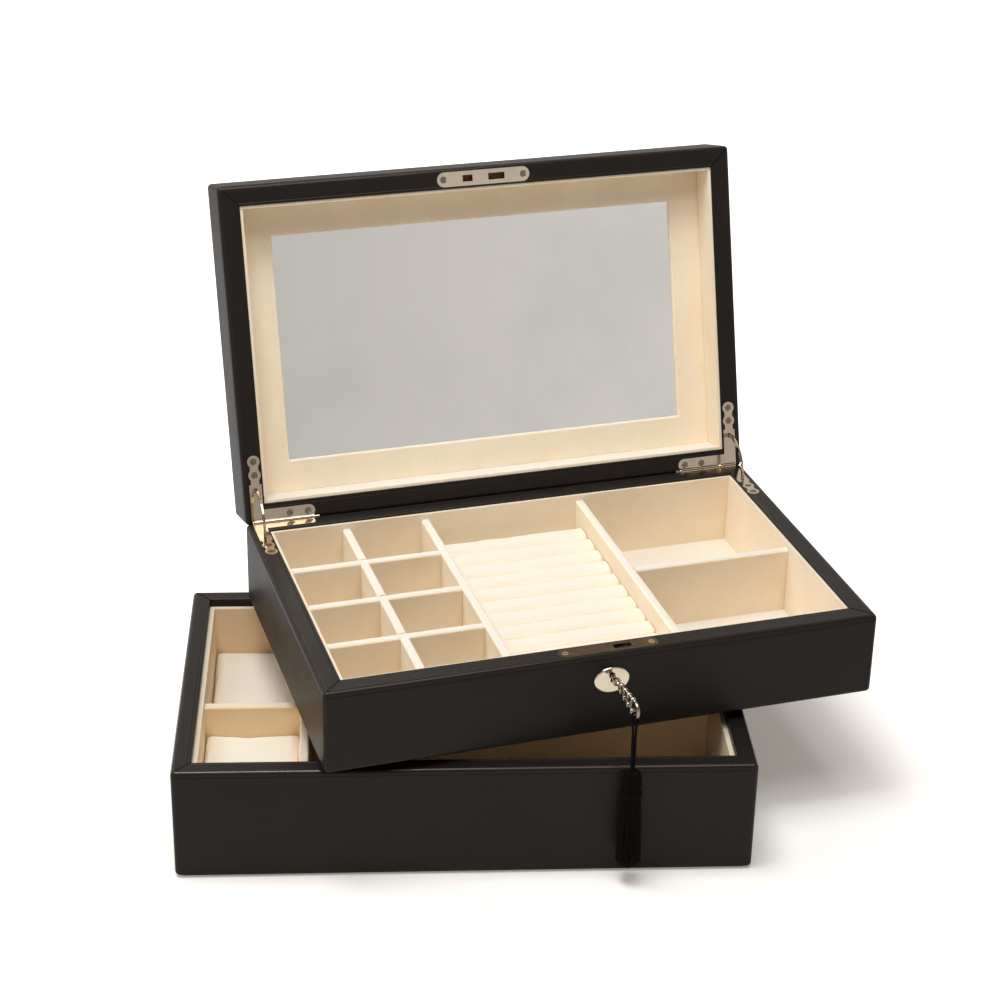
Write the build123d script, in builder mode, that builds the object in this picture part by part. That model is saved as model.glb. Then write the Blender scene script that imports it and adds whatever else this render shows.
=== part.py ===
"""Two-tier jewelry box: a lidded upper tray standing askew on a deeper lower tray.

Lengths are in millimetres. The row frame stands at the centre of the lower tray's
underside, with X along the box's width, -Y towards its front and +Z up.
Each tier is built in its rim frame: its origin is the centre of the tier's outline
in the rim plane, Z points out of the rim and Y points to the hinge side.
"""

from build123d import *
import math
import os

os.makedirs("parts", exist_ok=True)

# ---------------------------------------------------------------- driving sizes
# Outline that all three tiers share
box_w = 310.0
box_d = 196.0
lower_h = 66.5
tray_h = 48.8
lid_h = 34.5

# Leather wrap and its wooden core
leather = 1.2
roll = 2.6
turn_down = 9.0
turn_under = 11.6
lower_rim = 10.4
upper_rim = 12.0
panel = 3.0
felt = 0.8
felt_inset = 2.5

# Lining
lining = 1.2
liner = 1.6
lower_liner = 2.6
liner_drop = 1.0
lower_liner_drop = 5.0
fit_gap = 0.1

# Plinth that stands on the lower rim, or drops into it when the tiers are square
plinth_h = 4.8
plinth_inset = 12.2
plinth_corner = 3.0

# How the upper tier stands and how far the lid leans back
tier_x = 52.4
tier_y = 24.1
tier_turn = 14.06
lid_open = 105.6

# Upper tray dividers, from the lining or the middle to their centre planes
divider = 5.0
divider_drop = 4.4
divider_edge = 1.4
grid_from_left = 43.4
rings_from_left = 90.9
rings_from_right = 95.9
grid_rows = 4
tray_cross_y = -5.0

# Ring rolls
roll_rear_gap = 10.7
roll_count = 11
roll_gap = 0.3
roll_top_drop = 15.6
roll_h = 11.0

# Lower tray dividers and cushions
lower_divider = 5.2
lower_divider_top = 58.0
side_divider_from_left = 55.9
cross_divider_y = -17.0
long_divider_y = -0.4
cushion_gap = 0.4
rear_cushion_top = 33.6
front_cushion_top = 38.5
cushion_edge = 6.0

# Mirror in the lid
mirror_side_margin = 18.9
mirror_end_margin = 18.4
mirror_lap = 5.0
mirror_depth = 22.0
mirror_glass = 3.0
mirror_border = 2.0
mirror_lip = 1.0

# Side-rail hinges with quadrant stays
hinge_inset = 1.2
leaf = 1.2
leaf_w = 7.3
leaf_waist = 5.0
leaf_lobe_step = 8.0
leaf_lobes = 13.5
leaf_from_side = 7.4
leaf_reach = 41.0
leaf_from_back = 5.1
leaf_arm = 34.0
leaf_gap = 0.15
barrel_r = 1.6
barrel_from_side = 4.5
barrel_l = 36.0
knuckles = 5
knuckle_gap = 0.1
knuckle_clear = 0.2
barrel_clear = 0.25
pin_r = 0.75
pin_clear = 0.04
pin_cap = 0.5
pin_cap_r = 0.9
pin_tip = 3.0
stay_r = 19.0
stay_w = 2.4
stay = 1.0
stay_head_w = 4.2
stay_head = 2.2
stay_head_arc = 3.0
stay_tail = 8.0
stay_slot_clear = 0.25
stay_pocket = 3.2
stay_pocket_clear = 1.0

# Screws
screw_head_r = 1.95
screw_r = 0.9
screw_length = 8.0
screw_clear = 0.05
screw_slot = 0.5
screw_slot_depth = 0.4

# Lock, key and escutcheon
key_x = 1.2
key_drop = 12.8
plate_w = 56.0
plate_d = 8.6
plate_from_front = 6.5
plate_screw_x = 24.2
hook = 3.0
hook_band = 2.6
hook_lift = 0.4
hook_clear = 0.4
hook_turn = 60.0
hook_root = 18.0
hub_r = 5.0
boss_r = 4.4
case_wall = 0.8
case_inner_y = 5.0
case_clear = 0.5
keyhole_r = 1.45
keyhole_w = 1.5
keyhole_reach = 3.8
keeper_x = -11.4
keeper_w = 6.0
escutcheon_w = 20.0
escutcheon_h = 15.4
escutcheon = 1.4
escutcheon_drop = 3.0
key_shaft_r = 1.3
key_bit_reach = 3.6
key_bit = 1.2
key_bit_l = 2.6
key_collar_r = 2.3
key_collar_l = 2.0
key_collar_at = 7.0
bow_r = 1.0
bow_start = 14.0
bow_start_r = 1.5
bow_end = 37.0
bow_end_r = 3.8
bead_r = 1.75
bead_count = 4

# Tassel
cord_r = 0.7
cord_clear = 0.25
strand_x = 0.85
head_r = 5.1
head_z = 65.6
head_l = 13.0
skirt_top_r = 5.6
skirt_end_r = 6.8
skirt_end_z = 12.4
tassel_gap = 0.1

# ---------------------------------------------------------------- places
# Insides of the tiers and what stands at a set distance from them
tray_x = box_w / 2 - upper_rim - liner
tray_y = box_d / 2 - upper_rim - liner
lower_x = box_w / 2 - lower_rim - lower_liner
lower_y = box_d / 2 - lower_rim - lower_liner
grid_divider_x = grid_from_left - tray_x
left_ring_divider_x = rings_from_left - tray_x
right_ring_divider_x = tray_x - rings_from_right
roll_pitch = (2 * tray_y - 2 * cushion_gap - roll_rear_gap) / roll_count
side_divider_x = side_divider_from_left - lower_x
mirror_w = 2 * (tray_x - mirror_side_margin)
mirror_d = 2 * (tray_y - mirror_end_margin)
leaf_x = box_w / 2 - leaf_from_side
leaf_inner_x = leaf_x - leaf_arm
leaf_rear_y = box_d / 2 - leaf_from_back
barrel_outer_x = box_w / 2 - barrel_from_side
barrel_inner_x = barrel_outer_x - barrel_l
plate_y = plate_from_front - box_d / 2

# ---------------------------------------------------------------- frames
tray_bottom_z = lower_h + plinth_h
tier_cos = math.cos(math.radians(tier_turn))
tier_sin = math.sin(math.radians(tier_turn))
hinge_y = box_d / 2 - hinge_inset
key_z = -key_drop
lower_frame = Plane.XY.offset(lower_h)
tray_frame = Plane(
    origin=(tier_x, tier_y, tray_bottom_z + tray_h),
    x_dir=(tier_cos, tier_sin, 0),
    z_dir=(0, 0, 1),
)


def lid_rim_frame():
    """Rim frame of the lid as it stands open, found by turning it about the hinge."""
    lean = math.radians(lid_open)
    forward = Vector(tray_frame.y_dir) * -1
    up = Vector(tray_frame.z_dir)
    to_front = forward * math.cos(lean) + up * math.sin(lean)
    out_of_rim = forward * math.sin(lean) - up * math.cos(lean)
    axis_point = tray_frame.from_local_coords(Vector(0, hinge_y, 0))
    centre = axis_point + to_front * hinge_y
    return Plane(origin=centre, x_dir=Vector(tray_frame.x_dir) * -1, z_dir=out_of_rim)


lid_frame = lid_rim_frame()


def front_frame(frame, y):
    """Upright plane across the front: X along the rim, Y up, normal to the front."""
    origin = frame.from_local_coords(Vector(0, y, 0))
    return Plane(origin=origin, x_dir=frame.x_dir, z_dir=Vector(frame.y_dir) * -1)


def side_frame(frame, x):
    """Upright plane along the side: X to the rear, Y up, normal along the rim."""
    origin = frame.from_local_coords(Vector(x, 0, 0))
    return Plane(origin=origin, x_dir=frame.y_dir, z_dir=frame.x_dir)


def rim_axis(frame):
    return Axis(frame.origin, frame.z_dir)


def save(builder, name):
    builder.part.label = name
    export_step(builder.part, f"parts/{name}.step")


def block(x_low, x_high, y_low, y_high, z_low, z_high, mode=Mode.ADD):
    """Box between two corners of the workplane that is in use."""
    with Locations(((x_low + x_high) / 2, (y_low + y_high) / 2, (z_low + z_high) / 2)):
        Box(x_high - x_low, y_high - y_low, z_high - z_low, mode=mode)


# ---------------------------------------------------------------- shells
def core_block(frame, height):
    """Solid that the leather wraps, rounded where the leather rolls over it."""
    with BuildPart() as core:
        with BuildSketch(frame.offset(-leather)):
            RectangleRounded(box_w - 2 * leather, box_d - 2 * leather, roll - leather)
        extrude(amount=2 * leather - height)
        rolled = core.faces().sort_by(rim_axis(frame))
        fillet(rolled[-1].edges() + rolled[0].edges(), radius=roll - leather)
    return core.part


def frame_board(core, frame, height, rim, side, cuts):
    """One mitred board of the frame; side is its outward direction in the rim plane."""
    board = rim - 2 * leather
    with BuildPart() as piece:
        add(core)
        with BuildSketch(frame):
            Rectangle(box_w - 2 * leather - 2 * board, box_d - 2 * leather - 2 * board)
        extrude(amount=-height, mode=Mode.SUBTRACT)
        split(bisect_by=frame.offset(leather + panel - height), keep=Keep.TOP)
        for corner in [(-1, -1), (-1, 1), (1, -1), (1, 1)]:
            along = corner[0] * side[0] + corner[1] * side[1]
            if along > 0:
                across = Vector(corner[1], -corner[0], 0)
                turned = across.X * side[0] + across.Y * side[1]
                normal = frame.from_local_coords(across * turned) - frame.origin
                at_corner = frame.from_local_coords(
                    Vector(corner[0] * (box_w / 2), corner[1] * (box_d / 2), 0)
                )
                split(bisect_by=Plane(origin=at_corner, z_dir=normal), keep=Keep.TOP)
        for cut in cuts:
            add(cut, mode=Mode.SUBTRACT)
    return piece


def wrap_leather(core, frame, height, rim, open_base, cuts):
    """Leather skin over the outside, over the rim and a little way down inside it."""
    with BuildPart() as skin:
        with BuildSketch(frame):
            RectangleRounded(box_w, box_d, roll)
        extrude(amount=-height)
        rolled = skin.faces().sort_by(rim_axis(frame))
        fillet(rolled[-1].edges() + rolled[0].edges(), radius=roll)
        add(core, mode=Mode.SUBTRACT)
        with BuildSketch(frame.offset(-leather)):
            Rectangle(box_w - 2 * (rim - leather), box_d - 2 * (rim - leather))
        extrude(amount=leather - turn_down)
        with BuildSketch(frame):
            Rectangle(box_w - 2 * rim, box_d - 2 * rim)
        extrude(amount=-turn_down, mode=Mode.SUBTRACT)
        if open_base:
            with BuildSketch(frame.offset(-height)):
                Rectangle(box_w - 2 * turn_under, box_d - 2 * turn_under)
            extrude(amount=leather, mode=Mode.SUBTRACT)
        rim_face = skin.faces().sort_by(rim_axis(frame))[-1]
        fillet(rim_face.inner_wires()[0].edges(), radius=leather / 2)
        for cut in cuts:
            add(cut, mode=Mode.SUBTRACT)
    return skin


def shell_pieces(prefix, frame, height, rim, open_base, cuts):
    """Four boards, panel and leather of one tier, with the hardware let into them."""
    core = core_block(frame, height)
    sides = {"front": (0, -1), "back": (0, 1), "left": (-1, 0), "right": (1, 0)}
    for name, side in sides.items():
        save(frame_board(core, frame, height, rim, side, cuts), f"{prefix}_{name}_board")
    with BuildPart() as base:
        add(core)
        split(bisect_by=frame.offset(leather + panel - height), keep=Keep.BOTTOM)
    save(base, f"{prefix}_{'bottom' if open_base else 'top'}_panel")
    save(wrap_leather(core, frame, height, rim, open_base, cuts), f"{prefix}_leather")


def liner_boards(name, frame, rim, thickness, drop, depth):
    """Four covered cards round the inside of the rim; depth is where they stand."""
    half_w = box_w / 2 - rim
    half_d = box_d / 2 - rim
    with BuildPart(frame) as cards:
        for end in (-1, 1):
            outer = end * half_d
            inner = end * (half_d - thickness)
            block(-half_w, half_w, min(outer, inner), max(outer, inner), -depth, -drop)
            outer = end * half_w
            inner = end * (half_w - thickness)
            reach = half_d - thickness - fit_gap
            block(min(outer, inner), max(outer, inner), -reach, reach, -depth, -drop)
    save(cards, name)


def floor_card(name, frame, rim, floor_z):
    with BuildPart(frame) as card:
        half_w = box_w / 2 - rim
        half_d = box_d / 2 - rim
        block(-half_w, half_w, -half_d, half_d, floor_z - lining, floor_z)
    save(card, name)


# ---------------------------------------------------------------- hinges
def leaf_screw_points(side):
    end_y = box_d / 2 - leaf_reach + leaf_w / 2
    along_side = [(side * leaf_x, end_y + step, 0) for step in (0, leaf_lobe_step)]
    along_rear = [(side * (leaf_inner_x + step), leaf_rear_y, 0) for step in (4.2, 15.0)]
    return along_side + along_rear


def leaf_outline(side, gap):
    """L-shaped leaf in the rim plane, waisted between the screws of its side leg."""
    end_y = box_d / 2 - leaf_reach + leaf_w / 2
    for length, width in [(leaf_rear_y - end_y, leaf_waist), (leaf_rear_y - end_y - leaf_lobes, leaf_w)]:
        with Locations((side * leaf_x, leaf_rear_y - length / 2)):
            Rectangle(width + 2 * gap, length)
    lobes = [(x, y) for x, y, z in leaf_screw_points(side)[:2]]
    with Locations(*lobes):
        Circle(leaf_w / 2 + gap)
    end_x = leaf_inner_x + leaf_w / 2
    rear_l = leaf_x + leaf_w / 2 + gap - end_x
    with Locations((side * (end_x + rear_l / 2), leaf_rear_y)):
        Rectangle(rear_l, leaf_w + 2 * gap)
    with Locations((side * end_x, leaf_rear_y)):
        Circle(leaf_w / 2 + gap)
    tab_w = barrel_outer_x - barrel_inner_x + 2 * gap
    with Locations((side * (barrel_inner_x + barrel_outer_x) / 2, (leaf_rear_y + hinge_y) / 2)):
        Rectangle(tab_w, hinge_y - leaf_rear_y)


def barrel(frame, side, low, high, radius, mode=Mode.ADD):
    """Round length of the hinge line between two distances from the box's middle."""
    with BuildSketch(side_frame(frame, side * low)) as section:
        with Locations((hinge_y, 0)):
            Circle(radius)
    extrude(section.sketch, amount=side * (high - low), mode=mode)


def knuckle_span(index):
    pitch = (barrel_outer_x - barrel_inner_x) / knuckles
    return barrel_inner_x + index * pitch, barrel_inner_x + (index + 1) * pitch


def hinge_leaf(name, frame, side, own):
    """Leaf with its own knuckles; own is the first index, 0 for tray and 1 for lid."""
    with BuildPart() as plate:
        with BuildSketch(frame):
            leaf_outline(side, 0)
        extrude(amount=-leaf)
        for index in range(knuckles):
            low, high = knuckle_span(index)
            if index % 2 == own:
                barrel(frame, side, low + knuckle_gap / 2, high - knuckle_gap / 2, barrel_r)
            else:
                clear = barrel_r + knuckle_clear
                barrel(frame, side, low, high, clear, mode=Mode.SUBTRACT)
        barrel(
            frame, side, barrel_inner_x - 1, barrel_outer_x + 1,
            pin_r + pin_clear, mode=Mode.SUBTRACT,
        )
        barrel(
            frame, side, barrel_outer_x, barrel_outer_x + pin_cap + leaf_gap,
            pin_cap_r + pin_clear, mode=Mode.SUBTRACT,
        )
        with BuildSketch(frame):
            with Locations((side * leaf_x, hinge_y - stay_r)):
                slot_l = stay_w + 2 * stay_slot_clear
                Rectangle(stay + 2 * stay_slot_clear, slot_l)
        extrude(amount=-leaf, mode=Mode.SUBTRACT)
        with Locations(frame):
            with Locations(*leaf_screw_points(side)):
                CounterSinkHole(
                    radius=screw_r + screw_clear,
                    counter_sink_radius=screw_head_r + screw_clear,
                    counter_sink_angle=90,
                    depth=leaf,
                )
    save(plate, name)


def screw_solids(points):
    """Countersunk slotted screws at points of the workplane in use."""
    cone_h = screw_head_r - screw_r
    top = (Align.CENTER, Align.CENTER, Align.MAX)
    with Locations(*points):
        Cone(screw_r, screw_head_r, cone_h, align=top)
        Cylinder(screw_r, screw_length, align=top)
        Box(2 * screw_head_r + 1, screw_slot, screw_slot_depth, align=top, mode=Mode.SUBTRACT)


def quadrant_stay(name, frame, side):
    """Curved stay that runs through both leaves and stops the lid with its heads."""
    start = 180 - lid_open - stay_tail
    sweep = lid_open + 2 * stay_tail
    head = stay_head_arc
    with BuildPart() as blade:
        spans = [(start, sweep, stay_w, stay)]
        spans.append((start, head, stay_head_w, stay_head))
        spans.append((start + sweep - head, head, stay_head_w, stay_head))
        for first, turn, width, thickness in spans:
            with BuildSketch(side_frame(frame, side * leaf_x)):
                with BuildLine():
                    outer = CenterArc((hinge_y, 0), stay_r + width / 2, first, turn)
                    inner = CenterArc((hinge_y, 0), stay_r - width / 2, first, turn)
                    Line(outer @ 0, inner @ 0)
                    Line(outer @ 1, inner @ 1)
                make_face()
            extrude(amount=thickness / 2, both=True)
    save(blade, name)


def hinge_cuts(frame):
    """Room for both hinges of a rim: leaf beds, barrel grooves, holes and pockets."""
    pocket_r = stay_r + stay_head_w / 2 + stay_pocket_clear
    swept = math.radians(lid_open / 2 + stay_tail)
    pocket_z = pocket_r * math.sin(swept)
    pocket_y = (stay_r - stay_head_w / 2) * math.cos(swept) - stay_pocket_clear
    with BuildPart(frame) as cuts:
        for side in (-1, 1):
            with BuildSketch(frame.offset(-leaf)):
                leaf_outline(side, leaf_gap)
            extrude(amount=leaf + 1)
            barrel(
                frame, side, barrel_inner_x - leaf_gap - pin_tip,
                barrel_outer_x + leaf_gap + pin_cap, barrel_r + barrel_clear,
            )
            x_mid = side * leaf_x
            block(
                x_mid - stay_pocket / 2, x_mid + stay_pocket / 2,
                hinge_y - pocket_r, hinge_y - pocket_y, -pocket_z, -leaf / 2,
            )
            with Locations(*leaf_screw_points(side)):
                Cylinder(
                    screw_r + screw_clear, screw_length + screw_clear,
                    align=(Align.CENTER, Align.CENTER, Align.MAX),
                )
    return cuts.part


# ---------------------------------------------------------------- lock
hook_in_r = key_drop + leaf + hook_lift
hook_out_r = hook_in_r + hook_band
case_top = -leaf
case_half = hook_out_r + case_clear + case_wall
case_bottom = key_z - hub_r - case_clear * 2 - case_wall - hook_out_r * math.sin(math.radians(30)) / 2
hook_rest = math.degrees(math.asin((key_drop - leaf - hook_clear) / hook_out_r))
hook_tail = hook_rest - hook_turn
hook_reach_x = key_x + hook_out_r * math.cos(math.radians(hook_rest + hook_turn))
slot_low = key_x + math.sqrt(hook_in_r**2 - (key_drop + leaf) ** 2) - hook_clear
slot_high = key_x + math.sqrt(hook_out_r**2 - (key_drop - leaf) ** 2) + hook_clear
case_front = plate_y - case_inner_y / 2 - case_wall
case_back = plate_y + case_inner_y / 2 + case_wall
plate_screws = [(key_x - plate_screw_x, plate_y, 0), (key_x + plate_screw_x, plate_y, 0)]


def plate_outline(x_mid, gap):
    with Locations((x_mid, plate_y)):
        SlotOverall(plate_w + 2 * gap, plate_d + 2 * gap)


def rim_plate(name, frame, x_mid, slots, points):
    """Round-ended plate let flush into the rim, with slots for the hook."""
    with BuildPart() as plate:
        with BuildSketch(frame):
            plate_outline(x_mid, 0)
        extrude(amount=-leaf)
        with BuildSketch(frame):
            for low, high in slots:
                with Locations(((low + high) / 2, plate_y)):
                    Rectangle(high - low, hook + 2 * hook_clear)
        extrude(amount=-leaf, mode=Mode.SUBTRACT)
        with Locations(frame):
            with Locations(*points):
                CounterSinkHole(
                    radius=screw_r + screw_clear,
                    counter_sink_radius=screw_head_r + screw_clear,
                    counter_sink_angle=90,
                    depth=leaf,
                )
    save(plate, name)


def keyhole(radius, width, reach):
    """Round hole with a slot below it, drawn about the key's axis."""
    with Locations((key_x, key_z)):
        Circle(radius)
    with Locations((key_x, key_z - reach / 2)):
        Rectangle(width, reach)


def sector(radius_in, radius_out, first, turn):
    """Ring sector about the key's axis in a front plane."""
    with BuildLine() as ring:
        outer = CenterArc((key_x, key_z), radius_out, first, turn)
        inner = CenterArc((key_x, key_z), radius_in, first, turn)
        Line(outer @ 0, inner @ 0)
        Line(outer @ 1, inner @ 1)
    make_face(ring.edges())


# ================================================================ lower tray
lower_floor = leather + panel + lining + felt - lower_h
lower_leather_h = lower_h - felt
shell_pieces("lower", lower_frame, lower_leather_h, lower_rim, True, [])
liner_boards(
    "lower_liner", lower_frame, lower_rim, lower_liner, lower_liner_drop, -lower_floor
)
floor_card("lower_floor_lining", lower_frame, lower_rim, lower_floor)

with BuildPart() as base_felt:
    with BuildSketch(Plane.XY):
        RectangleRounded(box_w - 2 * felt_inset, box_d - 2 * felt_inset, roll)
    extrude(amount=felt)
    pad_w = box_w - 2 * turn_under - 2 * fit_gap
    pad_d = box_d - 2 * turn_under - 2 * fit_gap
    with BuildSketch(Plane.XY.offset(felt)):
        Rectangle(pad_w, pad_d)
    extrude(amount=leather)
save(base_felt, "base_felt")

lower_divider_drop = lower_divider_top - lower_h
half = lower_divider / 2


def soft_edges(builder, frame, radius):
    """Round the upper edges of a covered board."""
    top = builder.faces().sort_by(rim_axis(frame))[-1]
    fillet(top.edges().filter_by(lambda edge: edge.length > divider * 2), radius=radius)


with BuildPart(lower_frame) as lower_side_divider:
    reach = lower_y - fit_gap
    block(
        side_divider_x - half, side_divider_x + half, -reach, reach,
        lower_floor, lower_divider_drop,
    )
    soft_edges(lower_side_divider, lower_frame, divider_edge)
save(lower_side_divider, "lower_side_divider")

with BuildPart(lower_frame) as lower_cross_divider:
    block(
        fit_gap - lower_x, side_divider_x - half - fit_gap,
        cross_divider_y - half, cross_divider_y + half, lower_floor, lower_divider_drop,
    )
    soft_edges(lower_cross_divider, lower_frame, divider_edge)
save(lower_cross_divider, "lower_cross_divider")

with BuildPart(lower_frame) as lower_long_divider:
    block(
        side_divider_x + half + fit_gap, lower_x - fit_gap,
        long_divider_y - half, long_divider_y + half, lower_floor, lower_divider_drop,
    )
    soft_edges(lower_long_divider, lower_frame, divider_edge)
save(lower_long_divider, "lower_long_divider")

cushion_spans = {
    "rear_cushion": (cross_divider_y + half, lower_y, rear_cushion_top),
    "front_cushion": (-lower_y, cross_divider_y - half, front_cushion_top),
}
for cushion_name, (y_low, y_high, cushion_top) in cushion_spans.items():
    with BuildPart(lower_frame) as cushion:
        block(
            cushion_gap - lower_x, side_divider_x - half - cushion_gap,
            y_low + cushion_gap, y_high - cushion_gap,
            lower_floor, cushion_top - lower_h,
        )
        crown = cushion.faces().sort_by(rim_axis(lower_frame))[-1].edges()
        fillet(crown, radius=cushion_edge)
    save(cushion, cushion_name)

# ================================================================ upper tray
tray_floor = leather + panel + lining - tray_h

with BuildPart(tray_frame) as lock_cuts:
    with BuildSketch(tray_frame.offset(-leaf)):
        plate_outline(key_x, leaf_gap)
    extrude(amount=leaf + 1)
    block(
        key_x - case_half - fit_gap, key_x + case_half + fit_gap,
        case_front - fit_gap, case_back + fit_gap, case_bottom - fit_gap, -leaf / 2,
    )
    with BuildSketch(front_frame(tray_frame, case_front)):
        with Locations((key_x, key_z)):
            Circle(boss_r + fit_gap)
    extrude(amount=box_d)
    with Locations(*plate_screws):
        Cylinder(
            screw_r + screw_clear, screw_length + screw_clear,
            align=(Align.CENTER, Align.CENTER, Align.MAX),
        )

tray_cuts = [hinge_cuts(tray_frame), lock_cuts.part]
shell_pieces("upper", tray_frame, tray_h, upper_rim, True, tray_cuts)
liner_boards("upper_liner", tray_frame, upper_rim, liner, liner_drop, -tray_floor)
floor_card("upper_floor_lining", tray_frame, upper_rim, tray_floor)

with BuildPart() as plinth:
    with BuildSketch(tray_frame.offset(-tray_h - plinth_h)):
        RectangleRounded(box_w - 2 * plinth_inset, box_d - 2 * plinth_inset, plinth_corner)
    extrude(amount=plinth_h + leather)
save(plinth, "plinth")

tray_divider_top = -divider_drop
half = divider / 2
cell_d = (2 * tray_y - (grid_rows - 1) * divider) / grid_rows
cross_ys = [(row + 1) * (cell_d + divider) - tray_y - half for row in range(grid_rows - 1)]
halving = (tray_floor + tray_divider_top) / 2

with BuildPart(tray_frame) as grid_divider:
    reach = tray_y - fit_gap
    block(
        grid_divider_x - half, grid_divider_x + half, -reach, reach,
        tray_floor, tray_divider_top,
    )
    soft_edges(grid_divider, tray_frame, divider_edge)
    for cross_y in cross_ys:
        block(
            grid_divider_x - divider, grid_divider_x + divider,
            cross_y - half - fit_gap, cross_y + half + fit_gap,
            halving, tray_divider_top + 1, mode=Mode.SUBTRACT,
        )
save(grid_divider, "grid_divider")

with BuildPart(tray_frame) as cross_dividers:
    for cross_y in cross_ys:
        block(
            fit_gap - tray_x, left_ring_divider_x - half - fit_gap,
            cross_y - half, cross_y + half, tray_floor, tray_divider_top,
        )
    ridge = cross_dividers.edges().filter_by(Axis(tray_frame.origin, tray_frame.x_dir))
    fillet(ridge.group_by(rim_axis(tray_frame))[-1], radius=divider_edge)
    for cross_y in cross_ys:
        block(
            grid_divider_x - half - fit_gap, grid_divider_x + half + fit_gap,
            cross_y - divider, cross_y + divider,
            tray_floor - 1, halving + fit_gap, mode=Mode.SUBTRACT,
        )
save(cross_dividers, "cross_dividers")

ring_dividers = {
    "left_ring_divider": left_ring_divider_x,
    "right_ring_divider": right_ring_divider_x,
}
for divider_name, divider_x in ring_dividers.items():
    with BuildPart(tray_frame) as ring_divider:
        reach = tray_y - fit_gap
        block(
            divider_x - half, divider_x + half, -reach, reach,
            tray_floor, tray_divider_top,
        )
        soft_edges(ring_divider, tray_frame, divider_edge)
    save(ring_divider, divider_name)

with BuildPart(tray_frame) as tray_cross_divider:
    block(
        right_ring_divider_x + half + fit_gap, tray_x - fit_gap,
        tray_cross_y - half, tray_cross_y + half, tray_floor, tray_divider_top,
    )
    soft_edges(tray_cross_divider, tray_frame, divider_edge)
save(tray_cross_divider, "tray_cross_divider")

ring_low = left_ring_divider_x + half + cushion_gap
ring_high = right_ring_divider_x - half - cushion_gap
roll_base_z = -roll_top_drop - roll_h
with BuildPart(tray_frame) as ring_base:
    reach = tray_y - cushion_gap
    block(ring_low, ring_high, -reach, reach, tray_floor, roll_base_z)
save(ring_base, "ring_base")

with BuildPart() as ring_rolls:
    roll_w = roll_pitch - roll_gap
    with BuildSketch(side_frame(tray_frame, ring_low)) as roll_profiles:
        for index in range(roll_count):
            middle = cushion_gap - tray_y + roll_pitch * (index + 0.5)
            with Locations((middle, roll_base_z + roll_h / 2)):
                Rectangle(roll_w, roll_h)
        crowns = roll_profiles.vertices().group_by(Axis.Y)[-1]
        fillet(crowns, radius=roll_w * 0.45)
    extrude(amount=ring_high - ring_low)
save(ring_rolls, "ring_rolls")

# ---------------------------------------------------------------- tray hardware
hinge_leaf("left_tray_leaf", tray_frame, -1, 0)
hinge_leaf("right_tray_leaf", tray_frame, 1, 0)

with BuildPart() as hinge_pins:
    for side in (-1, 1):
        barrel(tray_frame, side, barrel_inner_x, barrel_outer_x, pin_r)
        barrel(tray_frame, side, barrel_outer_x, barrel_outer_x + pin_cap, pin_cap_r)
        barrel(tray_frame, side, barrel_inner_x - pin_tip, barrel_inner_x, pin_cap_r)
save(hinge_pins, "hinge_pins")

with BuildPart(tray_frame) as tray_hinge_screws:
    screw_solids(leaf_screw_points(-1) + leaf_screw_points(1))
save(tray_hinge_screws, "tray_hinge_screws")

quadrant_stay("left_stay", tray_frame, -1)
quadrant_stay("right_stay", tray_frame, 1)

rim_plate("lock_plate", tray_frame, key_x, [(slot_low, slot_high)], plate_screws)

with BuildPart(tray_frame) as lock_screws:
    screw_solids(plate_screws)
save(lock_screws, "lock_screws")

with BuildPart(tray_frame) as lock_case:
    block(
        key_x - case_half, key_x + case_half, case_front, case_back, case_bottom, case_top,
    )
    block(
        key_x - case_half + case_wall, key_x + case_half - case_wall,
        case_front + case_wall, case_back - case_wall,
        case_bottom + case_wall, case_top, mode=Mode.SUBTRACT,
    )
    with BuildSketch(front_frame(tray_frame, case_front + case_wall)):
        with Locations((key_x, key_z)):
            Circle(boss_r + pin_clear)
    extrude(amount=case_wall, mode=Mode.SUBTRACT)
    with BuildSketch(front_frame(tray_frame, case_back)):
        with Locations((key_x, key_z)):
            Circle(key_shaft_r + pin_clear)
    extrude(amount=case_wall, mode=Mode.SUBTRACT)
save(lock_case, "lock_case")

hub_half = case_inner_y / 2 - fit_gap
with BuildPart() as lock_hook:
    with BuildSketch(front_frame(tray_frame, plate_y + hub_half)):
        with Locations((key_x, key_z)):
            Circle(hub_r)
    extrude(amount=2 * hub_half)
    with BuildSketch(front_frame(tray_frame, plate_y - hub_half)):
        with Locations((key_x, key_z)):
            Circle(boss_r)
    extrude(amount=case_wall + fit_gap)
    with BuildSketch(front_frame(tray_frame, case_back)):
        with Locations((key_x, key_z)):
            Circle(key_shaft_r)
    extrude(amount=case_wall + fit_gap)
    with BuildSketch(front_frame(tray_frame, plate_y + hook / 2)):
        sector(hub_r - 1, hook_out_r, hook_tail, hook_root)
        sector(hook_in_r, hook_out_r, hook_tail, hook_turn)
    extrude(amount=hook)
    with BuildSketch(front_frame(tray_frame, plate_y + hub_half - case_wall)):
        keyhole(keyhole_r, keyhole_w, keyhole_reach)
    extrude(amount=2 * case_inner_y, mode=Mode.SUBTRACT)
save(lock_hook, "lock_hook")

with BuildPart() as escutcheon_plate:
    face_y = -box_d / 2
    with BuildSketch(front_frame(tray_frame, face_y)):
        with Locations((key_x, key_z - escutcheon_drop)):
            Ellipse(escutcheon_w / 2, escutcheon_h / 2)
    extrude(amount=escutcheon)
    front_axis = Axis(tray_frame.origin, Vector(tray_frame.y_dir) * -1)
    rounded = escutcheon_plate.faces().sort_by(front_axis)[-1].edges()
    fillet(rounded, radius=escutcheon * 0.6)
    with BuildSketch(front_frame(tray_frame, face_y)):
        keyhole(key_shaft_r + 0.5, key_bit + 0.6, key_bit_reach + 0.6)
    extrude(amount=escutcheon, mode=Mode.SUBTRACT)
save(escutcheon_plate, "escutcheon")

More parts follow.
